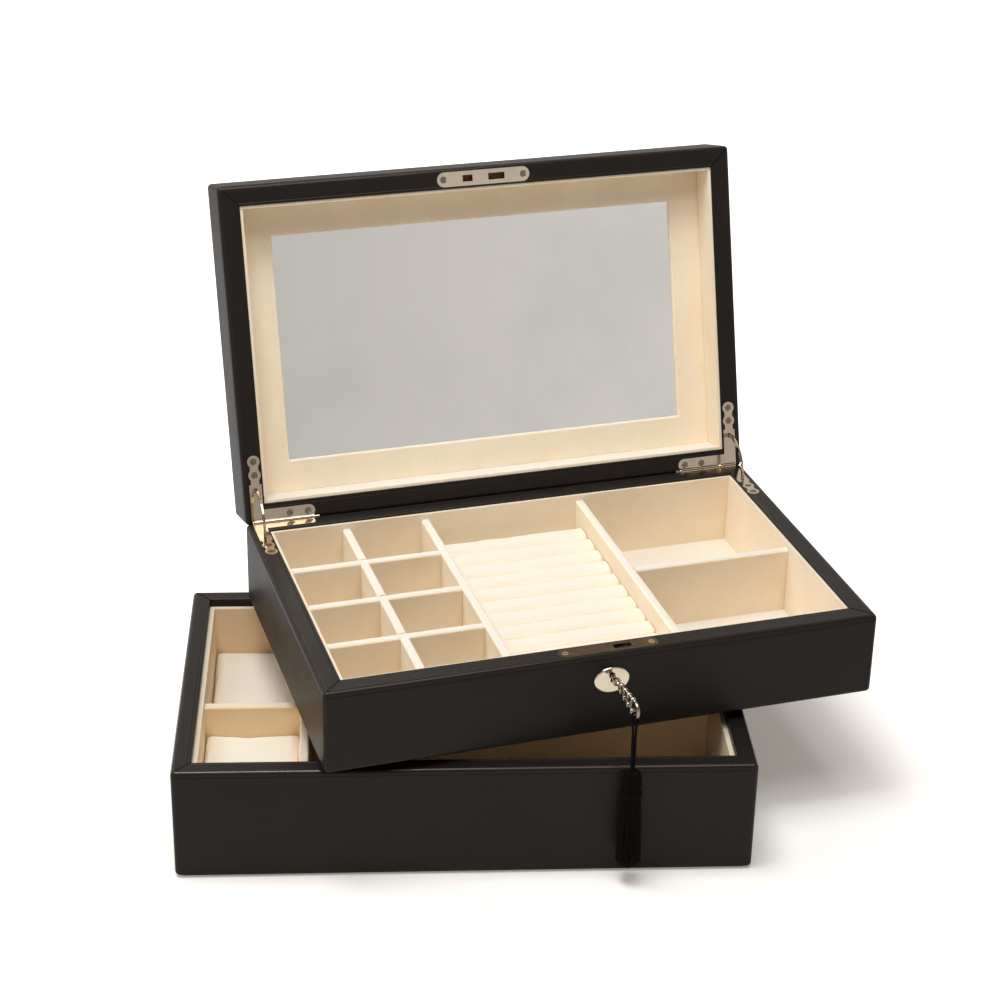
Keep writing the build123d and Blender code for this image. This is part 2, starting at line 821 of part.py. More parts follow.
# ---------------------------------------------------------------- key
key_tip_y = plate_y + hub_half - case_wall - fit_gap
face_y = -box_d / 2
lean = math.asin((bow_end_r - bow_start_r) / (bow_end - bow_start))
bow_plane = Plane(
    origin=tray_frame.from_local_coords(Vector(key_x, face_y, key_z)),
    x_dir=Vector(tray_frame.y_dir) * -1,
    z_dir=Vector(tray_frame.x_dir) * -1,
)


def arm_section(centre, radius, upper):
    """Plane across an arm where it leaves one end round, looking back to the stem."""
    x = centre - radius * math.sin(lean)
    y = upper * radius * math.cos(lean)
    back = Vector(-math.cos(lean), -upper * math.sin(lean), 0)
    origin = bow_plane.from_local_coords(Vector(x, y, 0))
    return Plane(origin=origin, z_dir=bow_plane.from_local_coords(back) - bow_plane.origin)


stem_tip = face_y - key_tip_y
stem_end = bow_start - bow_start_r
collar_end = key_collar_at + key_collar_l
collar_edge = key_collar_r - key_shaft_r
with BuildPart() as key:
    with BuildSketch(bow_plane):
        with BuildLine():
            Polyline(
                (stem_tip, 0),
                (stem_tip, key_shaft_r),
                (key_collar_at, key_shaft_r),
                (key_collar_at + collar_edge / 2, key_collar_r),
                (collar_end - collar_edge / 2, key_collar_r),
                (collar_end, key_shaft_r),
                (stem_end - 2 * bow_r, key_shaft_r),
                (stem_end, bow_r / 2),
                (stem_end, 0),
                close=True,
            )
        make_face()
    revolve(axis=Axis(bow_plane.origin, bow_plane.x_dir))
    with BuildSketch(front_frame(tray_frame, key_tip_y)):
        with Locations((key_x, key_z - key_bit_reach / 2)):
            Rectangle(key_bit, key_bit_reach)
    extrude(amount=key_bit_l)
    for arm in (-1, 1):
        with BuildSketch(arm_section(bow_end, bow_end_r, arm)):
            Circle(bow_r)
        extrude(amount=(bow_end - bow_start) * math.cos(lean))
    rounds = [(bow_start, bow_start_r, 180 - 2 * math.degrees(lean))]
    rounds.append((bow_end, bow_end_r, -180 - 2 * math.degrees(lean)))
    for centre, radius, turn in rounds:
        with BuildSketch(arm_section(centre, radius, 1)):
            Circle(bow_r)
        turning = bow_plane.from_local_coords(Vector(centre, 0, 0))
        revolve(axis=Axis(turning, bow_plane.z_dir), revolution_arc=turn)
    bead_step = (bow_end - bow_start) / bead_count
    for arm in (-1, 1):
        for index in range(bead_count):
            strung = arm_section(bow_end, bow_end_r, arm).offset((index + 0.7) * bead_step)
            with Locations(strung.location):
                Sphere(bead_r)
save(key, "key")

# ---------------------------------------------------------------- tassel
hang_plane = Plane(
    origin=tray_frame.from_local_coords(Vector(key_x, face_y - bow_end, key_z)),
    x_dir=tray_frame.x_dir,
    z_dir=Vector(tray_frame.y_dir) * -1,
)
hang_origin = Vector(hang_plane.origin)
fold = bow_r + cord_r + cord_clear
fold_z = -bow_end_r + fold
strand_end_z = head_z + head_r + tassel_gap - hang_origin.Z
fold_r = 0.45 * 2 * fold
print("cord corner radii", [round(fold_r, 3), round(fold_r, 3)])

with BuildPart() as tassel_cord:
    with BuildLine(hang_plane) as cord_path:
        FilletPolyline(
            (-strand_x, strand_end_z), (-fold, fold_z), (fold, fold_z), (strand_x, strand_end_z),
            radius=fold_r,
        )
    cord_wire = cord_path.wires()[0]
    with BuildSketch(Plane(origin=cord_wire.position_at(0), z_dir=cord_wire.tangent_at(0))):
        Circle(cord_r)
    sweep(path=cord_wire)
save(tassel_cord, "tassel_cord")
cord_length = cord_wire.length
print("cord length", round(cord_length, 2))
print("cord volume ratio", tassel_cord.part.volume / (math.pi * cord_r**2 * cord_length))

pivot = Plane(origin=(hang_origin.X, hang_origin.Y, head_z))
tassel_side = Plane(origin=pivot.origin, x_dir=(1, 0, 0), z_dir=(0, -1, 0))
neck_z = -head_l
with BuildPart() as tassel_head:
    with BuildSketch(tassel_side):
        with BuildLine():
            Line((0, head_r), (0, neck_z))
            Line((0, neck_z), (skirt_top_r, neck_z))
            bulge = Line((skirt_top_r, neck_z), (head_r, 0))
            RadiusArc(bulge @ 1, (0, head_r), -head_r)
        make_face()
    revolve(axis=Axis(pivot.origin, (0, 0, 1)))
save(tassel_head, "tassel_head")

skirt_l = head_z + neck_z - skirt_end_z
with BuildPart() as tassel_skirt:
    with BuildSketch(tassel_side):
        with BuildLine():
            Line((0, neck_z), (skirt_top_r, neck_z))
            Spline(
                (skirt_top_r, neck_z), (skirt_end_r, neck_z - skirt_l),
                tangents=[(0.25, -1), (0.02, -1)],
            )
            Line((skirt_end_r, neck_z - skirt_l), (0, neck_z - skirt_l))
            Line((0, neck_z - skirt_l), (0, neck_z))
        make_face()
    revolve(axis=Axis(pivot.origin, (0, 0, 1)))
save(tassel_skirt, "tassel_skirt")

# ================================================================ lid
with BuildPart(lid_frame) as strike_cuts:
    with BuildSketch(lid_frame.offset(-leaf)):
        plate_outline(-key_x, leaf_gap)
    extrude(amount=leaf + 1)
    for low, high in [(hook_reach_x, slot_high), (keeper_x, keeper_x + keeper_w)]:
        with BuildSketch(lid_frame.offset(-leaf / 2)):
            with Locations((-(low + high) / 2, plate_y)):
                Rectangle(high - low + 4 * hook_clear, hook + 4 * hook_clear)
        extrude(amount=key_drop - hook_out_r - hook_clear)
    lid_plate_screws = [(-x, y, z) for x, y, z in plate_screws]
    with Locations(*lid_plate_screws):
        Cylinder(
            screw_r + screw_clear, screw_length + screw_clear,
            align=(Align.CENTER, Align.CENTER, Align.MAX),
        )

lid_cuts = [hinge_cuts(lid_frame), strike_cuts.part]
shell_pieces("lid", lid_frame, lid_h, upper_rim, False, lid_cuts)
lid_inner = lid_h - leather - panel
liner_boards("lid_liner", lid_frame, upper_rim, liner, liner_drop, lid_inner)

border_w = box_w - 2 * (upper_rim + liner + fit_gap)
border_d = box_d - 2 * (upper_rim + liner + fit_gap)
with BuildPart() as mirror_frame:
    with BuildSketch(lid_frame.offset(-mirror_depth)):
        Rectangle(border_w, border_d)
        Rectangle(mirror_w, mirror_d, mode=Mode.SUBTRACT)
    extrude(amount=mirror_border)
    border_face = mirror_frame.faces().sort_by(rim_axis(lid_frame))[-1]
    fillet(border_face.inner_wires()[0].edges(), radius=mirror_lip)
save(mirror_frame, "mirror_frame")

with BuildPart() as mirror:
    with BuildSketch(lid_frame.offset(-mirror_depth)):
        Rectangle(mirror_w + 2 * mirror_lap, mirror_d + 2 * mirror_lap)
    extrude(amount=-mirror_glass)
save(mirror, "mirror")

with BuildPart() as mirror_backing:
    with BuildSketch(lid_frame.offset(-mirror_depth - mirror_glass)):
        Rectangle(border_w, border_d)
    extrude(amount=mirror_depth + mirror_glass - lid_inner)
save(mirror_backing, "mirror_backing")

slots = [(-slot_high, -slot_low), (-keeper_x - keeper_w, -keeper_x)]
rim_plate("strike_plate", lid_frame, -key_x, slots, lid_plate_screws)
hinge_leaf("left_lid_leaf", lid_frame, 1, 1)
hinge_leaf("right_lid_leaf", lid_frame, -1, 1)

with BuildPart(lid_frame) as lid_screws:
    screw_solids(leaf_screw_points(-1) + leaf_screw_points(1) + lid_plate_screws)
save(lid_screws, "lid_screws")
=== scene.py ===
"""Two-tier leather jewelry box with a mirrored lid, key lock and tassel, dressed for rendering."""

import logging
import math
from dataclasses import dataclass
from enum import Enum
from random import Random
from typing import Iterable, Mapping, Union

import bmesh
import bpy
from bmesh.types import BMEdge, BMesh
from bpy.types import ID, Curve, Material, Mesh, Node, NodeTree, Object, Spline
from bpy.types import NodeSocket as Socket
from mathutils import Matrix, Vector, noise


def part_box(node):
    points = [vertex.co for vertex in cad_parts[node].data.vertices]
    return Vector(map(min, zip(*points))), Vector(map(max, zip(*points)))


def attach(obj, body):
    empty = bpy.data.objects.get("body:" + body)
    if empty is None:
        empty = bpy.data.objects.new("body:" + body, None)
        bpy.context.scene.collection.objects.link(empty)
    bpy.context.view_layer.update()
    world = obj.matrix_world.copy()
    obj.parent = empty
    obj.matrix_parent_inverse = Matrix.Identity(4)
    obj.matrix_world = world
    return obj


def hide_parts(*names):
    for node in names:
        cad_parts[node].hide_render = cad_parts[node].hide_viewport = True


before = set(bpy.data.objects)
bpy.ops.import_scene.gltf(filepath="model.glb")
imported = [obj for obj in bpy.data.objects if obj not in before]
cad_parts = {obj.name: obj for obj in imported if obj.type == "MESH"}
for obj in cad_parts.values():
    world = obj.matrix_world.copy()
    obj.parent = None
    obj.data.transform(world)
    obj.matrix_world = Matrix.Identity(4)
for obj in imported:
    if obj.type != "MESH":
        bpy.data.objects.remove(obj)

Triple = tuple[float, float, float]
Colour = Triple
Feed = Union[Socket, float, Triple]
Waves = tuple[tuple[float, float], ...]

log = logging.getLogger("jewelry_box")
MM = 0.001

# Rim frames of the trays: x, y and z in millimetres, and the turn in degrees.
LOWER_RIM = (0.0, 0.0, 66.5, 0.0)
UPPER_RIM = (52.4, 24.1, 120.1, 14.06)
HINGE_REACH = 96.8  # from a rim's middle to the hinge pin, in millimetres
LID_OPENING = 105.6  # angle between the two rims, in degrees

# Distances in metres within which points are one, or lie on a cut.
WELD = 2e-6
CUT = 1e-7

ALL_SMOOTH = 180.0  # sharp angle of a piece without sharp edges, in degrees
PUCKER_SEED = 11  # without a seed the noise would start from the clock

BLACK_LEATHER = (0.0125, 0.0096, 0.0080)
CREAM = (0.955, 0.83, 0.65)
WHITE = (1.0, 1.0, 1.0)


def upright(x: float, y: float, z: float, turn: float) -> Matrix:
    """Rim frame of a tier that stands level, from millimetres and degrees."""
    place = Matrix.Translation((x * MM, y * MM, z * MM))
    return place @ Matrix.Rotation(math.radians(turn), 4, "Z")


def hinge_turned(opening: float) -> Matrix:
    """Find the lid's rim frame when the lid stands open by an angle.

    Args:
        opening: angle between the two rims, in degrees.

    Returns:
        A matrix whose X runs along the rim, Y to the hinge and Z out of the lid.
    """
    lean = math.radians(opening)
    reach = HINGE_REACH * MM
    up = Vector((0, -math.cos(lean), math.sin(lean)))
    out = Vector((0, -math.sin(lean), -math.cos(lean)))
    centre = Vector((0, reach, 0)) + up * reach
    turned = Matrix((Vector((-1, 0, 0)), -up, out)).transposed().to_4x4()
    return upright(*UPPER_RIM) @ Matrix.Translation(centre) @ turned


class Tier(Enum):
    """The three leather-covered shells, by the prefix of their nodes' names."""

    LOWER = "lower"
    UPPER = "upper"
    LID = "lid"

    @property
    def body(self) -> str:
        """Name of the moving body that the tier belongs to."""
        return "lid" if self is Tier.LID else f"{self.value}_tray"

    @property
    def place(self) -> Matrix:
        """Rim frame: X along the front, Y to the rear, Z out of the rim."""
        rim = LOWER_RIM if self is Tier.LOWER else UPPER_RIM
        return hinge_turned(LID_OPENING) if self is Tier.LID else upright(*rim)


# Shader nodes
class Graph:
    """Shorthand for adding and joining the nodes of one shader tree."""

    def __init__(self, tree: NodeTree) -> None:
        """Keep the tree that nodes are added to."""
        self.tree = tree

    def add(self, kind: str, prefix: str = "ShaderNode", **settings: object) -> Node:
        """Add one node.

        Args:
            kind: the node's type, without its prefix.
            prefix: what the type's name starts with.
            settings: attributes to set on the node.

        Returns:
            The new node.
        """
        node = self.tree.nodes.new(f"{prefix}{kind}")
        for key, value in settings.items():
            setattr(node, key, value)
        return node

    def feed(self, socket: Socket, value: Feed) -> None:
        """Join an input socket to another socket, or set its plain value."""
        if isinstance(value, Socket):
            self.tree.links.new(value, socket)
        elif isinstance(value, tuple) and len(socket.default_value) == 4:
            socket.default_value = (*value, 1.0)
        else:
            socket.default_value = value

    def fill(self, node: Node, **values: Feed) -> Node:
        """Feed a node's inputs by name, with spaces as underscores, and return the node."""
        for name, value in values.items():
            self.feed(node.inputs[name.replace("_", " ")], value)
        return node

    def math(self, operation: str, *values: Feed) -> Socket:
        """Result of a Math node's operation on sockets or numbers."""
        node = self.add("Math", operation=operation)
        for socket, value in zip(node.inputs, values):
            self.feed(socket, value)
        return node.outputs[0]

    def span(
        self, value: Feed, low: float, high: float, start: float = 0.0, end: float = 1.0
    ) -> Socket:
        """Map a range of values smoothly onto another.

        Args:
            value: what is mapped.
            low: value that gives the start.
            high: value that gives the end.
            start: result at the low value.
            end: result at the high value.

        Returns:
            The mapped value's socket.
        """
        node = self.add("MapRange", interpolation_type="SMOOTHSTEP")
        for index, entry in enumerate((value, low, high, start, end)):
            self.feed(node.inputs[index], entry)
        return node.outputs[0]

    def mix(self, share: Feed, first: Feed, second: Feed) -> Socket:
        """Mix two colours.

        Args:
            share: how much of the second shows.
            first: colour at a share of 0.
            second: colour at a share of 1.

        Returns:
            The mixed colour's socket.
        """
        node = self.add("Mix", data_type="RGBA")
        self.feed(node.inputs["Factor"], share)
        self.feed(node.inputs[6], first)
        self.feed(node.inputs[7], second)
        return node.outputs[2]

    def noise(
        self, vector: Socket, scale: Feed, detail: float = 3.0, rough: float = 0.5
    ) -> Socket:
        """Cloudy noise of one scale, as a value about 0.5."""
        values = {"Vector": vector, "Scale": scale, "Detail": detail, "Roughness": rough}
        return self.fill(self.add("TexNoise"), **values).outputs["Fac"]

    def mapped(self, vector: Socket, kind: str = "POINT", **values: Feed) -> Socket:
        """Coordinates moved, turned or stretched by a Mapping node's values."""
        node = self.add("Mapping", vector_type=kind)
        return self.fill(node, Vector=vector, **values).outputs[0]

    def split(self, vector: Socket) -> Iterable[Socket]:
        """The X, Y and Z of a vector."""
        return self.fill(self.add("SeparateXYZ"), Vector=vector).outputs

    def bump(self, height: Socket, distance: float, strength: float = 1.0) -> Socket:
        """Normal of a surface raised by a height, with its distance in metres."""
        node = self.add("Bump")
        return self.fill(node, Height=height, Distance=distance, Strength=strength).outputs[0]

    def group(self, tree: NodeTree, **inputs: Feed) -> Node:
        """Place a shader node group and feed its inputs by name."""
        return self.fill(self.add("Group", node_tree=tree), **inputs)

    def camera_sees(self) -> tuple[Socket, Socket]:
        """Find what a ray of light is for.

        Returns:
            A mask of what the camera sees, also through glass, and one of what gloss mirrors.
        """
        rays = self.add("LightPath").outputs
        seen = self.math("MAXIMUM", rays["Is Camera Ray"], rays["Is Transmission Ray"])
        return seen, rays["Is Glossy Ray"]


@dataclass
class Effect:
    """A shader node group that several finishes share, built once."""

    name: str
    sizes: dict[str, float]
    outputs: tuple[str, ...]

    def start(self) -> tuple[Graph, Mapping[str, Socket], Node]:
        """Make the empty group with a vector, its sizes and its outputs as sockets.

        Returns:
            Its graph, what it is given by name, and the node that takes its results.
        """
        tree = bpy.data.node_groups.new(self.name, "ShaderNodeTree")
        sockets = tree.interface
        sockets.new_socket("Vector", in_out="INPUT", socket_type="NodeSocketVector")
        for name, size in self.sizes.items():
            socket = sockets.new_socket(name, in_out="INPUT", socket_type="NodeSocketFloat")
            socket.default_value = size
        for name in self.outputs:
            sockets.new_socket(name, in_out="OUTPUT", socket_type="NodeSocketFloat")
        graph = Graph(tree)
        given = graph.add("GroupInput", prefix="Node").outputs
        return graph, given, graph.add("GroupOutput", prefix="Node")


def grain_effect() -> NodeTree:
    """Fine pebbled grain of calf leather, with wear clouds."""
    effect = Effect("leather_grain", {"Scale": 900.0}, ("Height", "Cloud"))
    graph, given, result = effect.start()
    vector = given["Vector"]
    pebble = graph.add("TexVoronoi", feature="SMOOTH_F1")
    graph.fill(pebble, Vector=vector, Scale=given["Scale"])
    pores = graph.noise(vector, 2600.0, 2.0)
    pebbled = graph.math("MULTIPLY", pebble.outputs["Distance"], -0.8)
    height = graph.math("MULTIPLY_ADD", pores, 0.35, pebbled)
    cloud = graph.noise(vector, 26.0, 4.0, 0.6)
    graph.fill(result, Height=height, Cloud=cloud)
    return graph.tree


def nap_effect() -> NodeTree:
    """Short nap of suede cloth, laid one way, with patches that lie the other way."""
    effect = Effect("suede_nap", {"Scale": 2200.0}, ("Height", "Patch", "Fleck"))
    graph, given, result = effect.start()
    vector = given["Vector"]
    fibre = graph.noise(vector, given["Scale"], 4.0, 0.7)
    mottle = graph.noise(vector, 420.0, 3.0, 0.6)
    height = graph.math("MULTIPLY_ADD", mottle, 0.6, fibre)
    fleck = graph.span(fibre, 0.68, 0.78)
    graph.fill(result, Height=height, Patch=graph.noise(vector, 38.0, 4.0, 0.62), Fleck=fleck)
    return graph.tree


def rim_effect() -> NodeTree:
    """Creases that a maker's tool leaves along a leather rim, its mitre seams, which carry painted
    shade, and its outer edge, lightened by rubbing and by a painted highlight.
    """
    sizes = {"Half Width": 0.155, "Half Depth": 0.098, "Crease": 0.0102}
    graph, given, result = Effect("rim_lines", sizes, ("Height", "Rub", "Mitre")).start()
    x, y, z = graph.split(given["Vector"])
    side = graph.math("SUBTRACT", given["Half Width"], graph.math("ABSOLUTE", x))
    end = graph.math("SUBTRACT", given["Half Depth"], graph.math("ABSOLUTE", y))
    inward = graph.math("MINIMUM", side, end)
    on_top = graph.span(z, -0.0012, -0.0004)
    away = graph.math("ABSOLUTE", graph.math("SUBTRACT", inward, given["Crease"]))
    crease = graph.span(away, 0.0, 0.00045, 1.0, 0.0)
    pressed = graph.math("MULTIPLY", crease, graph.math("MULTIPLY", on_top, -1.0))
    across = graph.math("ABSOLUTE", graph.math("SUBTRACT", side, end))
    # Mask of the mitre seams on the rim's top, where the colour is painted darker as shade.
    mitre = graph.math("MULTIPLY", graph.span(across, 0.0004, 0.0011, 1.0, 0.0), on_top)
    # The rolled outer edge: lighter from rubbing, and partly a painted highlight.
    rolled = graph.span(graph.math("SUBTRACT", inward, z), 0.0016, 0.0032, 1.0, 0.0)
    graph.fill(result, Height=pressed, Rub=rolled, Mitre=mitre)
    return graph.tree


def handling_effect() -> NodeTree:
    """Faint smears and hairlines that polished metal and glass pick up in use."""
    effect = Effect("handling", {"Scale": 90.0}, ("Smear", "Hairline"))
    graph, given, result = effect.start()
    smear = graph.noise(given["Vector"], given["Scale"], 5.0)
    drawn = graph.mapped(given["Vector"], Scale=(400.0, 6000.0, 6000.0))
    smear = graph.span(smear, 0.42, 0.68)
    graph.fill(result, Smear=smear, Hairline=graph.noise(drawn, 1.0, 2.0))
    return graph.tree


class Effects:
    """The shared shader node groups, each built once."""

    grain = grain_effect()
    nap = nap_effect()
    rim = rim_effect()
    handling = handling_effect()


# Finishes
@dataclass(frozen=True)
class Finish:
    """What every finish has: a name, a colour and a roughness."""

    name: str
    colour: Colour
    roughness: float

    def begin(self, **plain: Feed) -> tuple[Material, Graph, Node, Socket]:
        """Start the material.

        Args:
            plain: plain values of the shader's own sockets, with spaces as underscores.

        Returns:
            The material, its graph, its Principled shader and its Object coordinates.
        """
        material = bpy.data.materials.new(self.name)
        material.use_nodes = True
        graph = Graph(material.node_tree)
        shader = material.node_tree.nodes["Principled BSDF"]
        graph.fill(shader, Base_Color=self.colour, Roughness=self.roughness, **plain)
        return material, graph, shader, graph.add("TexCoord").outputs["Object"]

    def toned(self, strength: float) -> Colour:
        """The finish's colour, darker below a strength of 1 and lighter above it."""
        return tuple(channel * strength for channel in self.colour)


@dataclass(frozen=True)
class Leather(Finish):
    """Near-black matte calf leather, creased along one tier's rim."""

    tier: Tier
    crease: float
    clouded: float = 0.86
    # Darkening of the mitre seams: painted shade.
    seam: float = 0.4
    # How much lighter the rolled edge is: rubbing, and partly a painted highlight.
    rub_and_highlight_tone: float = 1.9
    crease_height: float = 9.0
    depth: float = 0.00003

    def material(self) -> Material:
        """Build the leather's material."""
        material, graph, shader, coords = self.begin(
            Specular_IOR_Level=0.2, Specular_Tint=(1.0, 0.91, 0.83)
        )
        place, turn, _ = self.tier.place.decompose()
        local = graph.mapped(coords, "TEXTURE", Location=place, Rotation=turn.to_euler())
        grain = graph.group(Effects.grain, Vector=coords).outputs
        rim = graph.group(Effects.rim, Vector=local, Crease=self.crease).outputs
        cloud = graph.span(grain["Cloud"], 0.35, 0.7)
        tone = graph.mix(cloud, self.colour, self.toned(self.clouded))
        # The mitre seams are painted darker: painted shade in the seam lines.
        tone = graph.mix(rim["Mitre"], tone, self.toned(self.seam))
        # The rolled edge is painted lighter: rubbing, and partly a painted highlight.
        rub_and_highlight_share = graph.math("MULTIPLY", rim["Rub"], 0.5)
        tone = graph.mix(rub_and_highlight_share, tone, self.toned(self.rub_and_highlight_tone))
        rough = graph.span(cloud, 0.0, 1.0, self.roughness - 0.01, self.roughness + 0.02)
        rough = graph.math("MULTIPLY_ADD", rim["Mitre"], 0.4, rough)
        rough = graph.math("MULTIPLY_ADD", rim["Rub"], -0.27, rough)
        height = graph.math("MULTIPLY_ADD", rim["Height"], self.crease_height, grain["Height"])
        relief = graph.bump(height, self.depth, 0.8)
        graph.fill(shader, Base_Color=tone, Roughness=rough, Normal=relief)
        return material


@dataclass(frozen=True)
class Suede(Finish):
    """Cream suede cloth with a short nap, laid one way, and painted shade where it faces up."""

    shade: Colour = (0.81, 0.64, 0.43)
    # Colour of the faces that face up: painted shade, darker than the walls, so that tops under
    # the light from above stay cream.
    top_shade: Colour = (0.64, 0.61, 0.55)
    depth: float = 0.00012
    patchy: float = 0.3
    top_shade_share: float = 0.85
    shadowed: float = 0.22
    flecked: float = 0.18

    def material(self) -> Material:
        """Build the suede's material."""
        material, graph, shader, coords = self.begin(
            Specular_IOR_Level=0.15, Sheen_Weight=0.12, Sheen_Roughness=0.5,
            Sheen_Tint=(1.0, 0.92, 0.80),
        )
        nap = graph.group(Effects.nap, Vector=coords).outputs
        patch = graph.span(nap["Patch"], 0.3, 0.75, 0.0, self.patchy)
        _, _, raised = graph.split(graph.add("TexCoord").outputs["Normal"])
        # Faces that face up are painted in the top shade colour: painted shade.
        tops = graph.span(raised, 0.55, 0.97, 0.0, self.top_shade_share)
        tone = graph.mix(tops, graph.mix(patch, self.colour, self.shade), self.top_shade)
        fibre = graph.span(nap["Height"], 0.45, 1.1, self.shadowed, 0.0)
        tone = graph.mix(fibre, tone, self.shade)
        tone = graph.mix(graph.math("MULTIPLY", nap["Fleck"], self.flecked), tone, self.shade)
        graph.fill(shader, Base_Color=tone, Normal=graph.bump(nap["Height"], self.depth, 0.7))
        return material


@dataclass(frozen=True)
class Felt(Finish):
    """Pressed wool felt with loose fibres."""

    nap_scale: float = 1400.0
    depth: float = 0.0003

    def material(self) -> Material:
        """Build the felt's material."""
        material, graph, shader, coords = self.begin(Specular_IOR_Level=0.2)
        nap = graph.group(Effects.nap, Vector=coords, Scale=self.nap_scale).outputs
        tone = graph.mix(nap["Patch"], self.colour, self.toned(2.2))
        graph.fill(shader, Base_Color=tone, Normal=graph.bump(nap["Height"], self.depth))
        return material


@dataclass(frozen=True)
class Board(Finish):
    """Pressed wood-fibre board, flecked and slightly wavy."""

    streaks: Triple = (60.0, 60.0, 900.0)
    depth: float = 0.00008

    def material(self) -> Material:
        """Build the board's material."""
        material, graph, shader, coords = self.begin()
        streak = graph.noise(graph.mapped(coords, Scale=self.streaks), 1.0, 4.0, 0.6)
        streak = graph.span(streak, 0.35, 0.7, 0.0, 0.8)
        relief = graph.bump(graph.noise(coords, 1500.0, 3.0), self.depth)
        tone = graph.mix(streak, self.colour, self.toned(0.55))
        graph.fill(shader, Base_Color=tone, Normal=relief)
        return material


@dataclass(frozen=True)
class Metal(Finish):
    """Plated or bare metal with hairlines and faint smears, dimpled where it is cast."""

    drawn: float = 0.0000012
    dimpled: float = 0.0
    smear: float = 0.05
    smear_scale: float = 150.0
    dimple_scale: float = 750.0

    def material(self) -> Material:
        """Build the metal's material."""
        material, graph, shader, coords = self.begin(Metallic=1.0)
        used = graph.group(Effects.handling, Vector=coords, Scale=self.smear_scale).outputs
        tone = graph.mix(used["Smear"], self.colour, self.toned(0.92))
        rough = graph.math("MULTIPLY_ADD", used["Smear"], self.smear, self.roughness)
        height = graph.math("MULTIPLY", used["Hairline"], self.drawn / MM)
        dimple = graph.noise(coords, self.dimple_scale, 1.0)
        dimple = graph.math("MULTIPLY", dimple, self.dimpled / MM)
        relief = graph.bump(graph.math("ADD", height, dimple), MM, 0.6)
        graph.fill(shader, Base_Color=tone, Roughness=rough, Normal=relief)
        return material


@dataclass(frozen=True)
class Glass(Finish):
    """Silvered mirror glass with the faintest smears."""

    smear: float = 0.02
    smear_scale: float = 14.0

    def material(self) -> Material:
        """Build the mirror's material."""
        material, graph, shader, coords = self.begin(Metallic=1.0)
        used = graph.group(Effects.handling, Vector=coords, Scale=self.smear_scale).outputs
        tone = graph.mix(used["Smear"], self.colour, self.toned(0.93))
        rough = graph.math("MULTIPLY_ADD", used["Smear"], self.smear, self.roughness)
        graph.fill(shader, Base_Color=tone, Roughness=rough)
        return material


@dataclass(frozen=True)
class Silk(Finish):
    """Black silk thread, twisted, with a soft gleam along each strand."""

    twist: float = 1600.0
    depth: float = 0.00012

    def material(self) -> Material:
        """Build the thread's material."""
        material, graph, shader, coords = self.begin(
            Specular_IOR_Level=0.07, Sheen_Weight=0.02, Sheen_Roughness=0.4,
            Sheen_Tint=(0.3, 0.26, 0.22),
        )
        wave = graph.add("TexWave", wave_type="BANDS", bands_direction="DIAGONAL")
        strand = graph.fill(wave, Vector=coords, Scale=self.twist / 6.28, Distortion=1.2)
        strand = strand.outputs["Fac"]
        height = graph.math("MULTIPLY_ADD", graph.noise(coords, 3000.0, 2.0), 0.4, strand)
        tone = graph.mix(strand, self.colour, self.toned(2.0))
        graph.fill(shader, Base_Color=tone, Normal=graph.bump(height, self.depth))
        return material


class Finishes:
    """The finishes of this box, one material each."""

    leather = {
        tier: Leather(f"{tier.value}_black_leather", BLACK_LEATHER, 0.42, tier, crease).material()
        for tier, crease in ((Tier.LOWER, 0.0088), (Tier.UPPER, 0.0102), (Tier.LID, 0.0102))
    }
    suede = Suede("cream_suede", CREAM, 0.92).material()
    lining = Suede("cream_lining", CREAM, 0.92, top_shade=(0.62, 0.54, 0.43)).material()
    # Warmer, more saturated copy of the cream suede for the lower tray, which lies in the upper
    # tray's shade: painted shade.
    shade_warmed_lining = Suede(
        "cream_lower_lining", (0.97, 0.78, 0.53), 0.92,
        shade=(0.80, 0.58, 0.36), top_shade=(0.62, 0.55, 0.44),
    ).material()
    pad = Suede(
        "cream_suede_pad", (0.93, 0.84, 0.70), 0.94, top_shade=(0.68, 0.635, 0.55), depth=0.00016
    ).material()
    felt = Felt("black_felt", (0.012, 0.011, 0.010), 0.95).material()
    board = Board("fibre_board", (0.30, 0.19, 0.11), 0.8).material()
    backing = Board("backing_card", (0.24, 0.21, 0.18), 0.85).material()
    nickel = Metal("champagne_nickel", (0.74, 0.64, 0.50), 0.09).material()
    hinge = Metal("hinge_nickel", (0.57, 0.47, 0.36), 0.11, dimpled=0.000016).material()
    # The key's nickel is darker than the other nickel: painted shade for the dark surroundings
    # that the polished key reflects.
    key = Metal("key_nickel", (0.34, 0.285, 0.23), 0.07).material()
    # Dark copy of the nickel for the lock plate: painted shade for the dark surroundings that it
    # reflects.
    shade_painted_nickel = Metal("dark_nickel", (0.24, 0.20, 0.165), 0.14).material()
    brass = Metal("brass_screw", (0.78, 0.66, 0.47), 0.16, dimpled=0.0001).material()
    dark = Metal("dark_steel_screw", (0.24, 0.205, 0.165), 0.14, dimpled=0.0003).material()
    steel = Metal("lock_steel", (0.48, 0.46, 0.43), 0.32, drawn=0.00001).material()
    mirror = Glass("silvered_glass", (0.90, 0.885, 0.86), 0.015).material()
    silk = Silk("black_silk", (0.0024, 0.0019, 0.0016), 0.7).material()


# Pieces
def dress(nodes: Iterable[str], material: Material) -> None:
    """Give carried-over nodes, by name, the material that they are made of."""
    for node in nodes:
        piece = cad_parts[node]
        if not piece.material_slots:
            piece.data.materials.append(material)
        for slot in piece.material_slots:
            slot.material = material
        log.info("dressed %s in %s", node, material.name)


def linked(name: str, data: ID) -> Object:
    """Put new data into the scene.

    Args:
        name: the object's name.
        data: its mesh, curve, lamp or camera.

    Returns:
        The new object, at the origin.
    """
    piece = bpy.data.objects.new(name, data)
    bpy.context.scene.collection.objects.link(piece)
    return piece


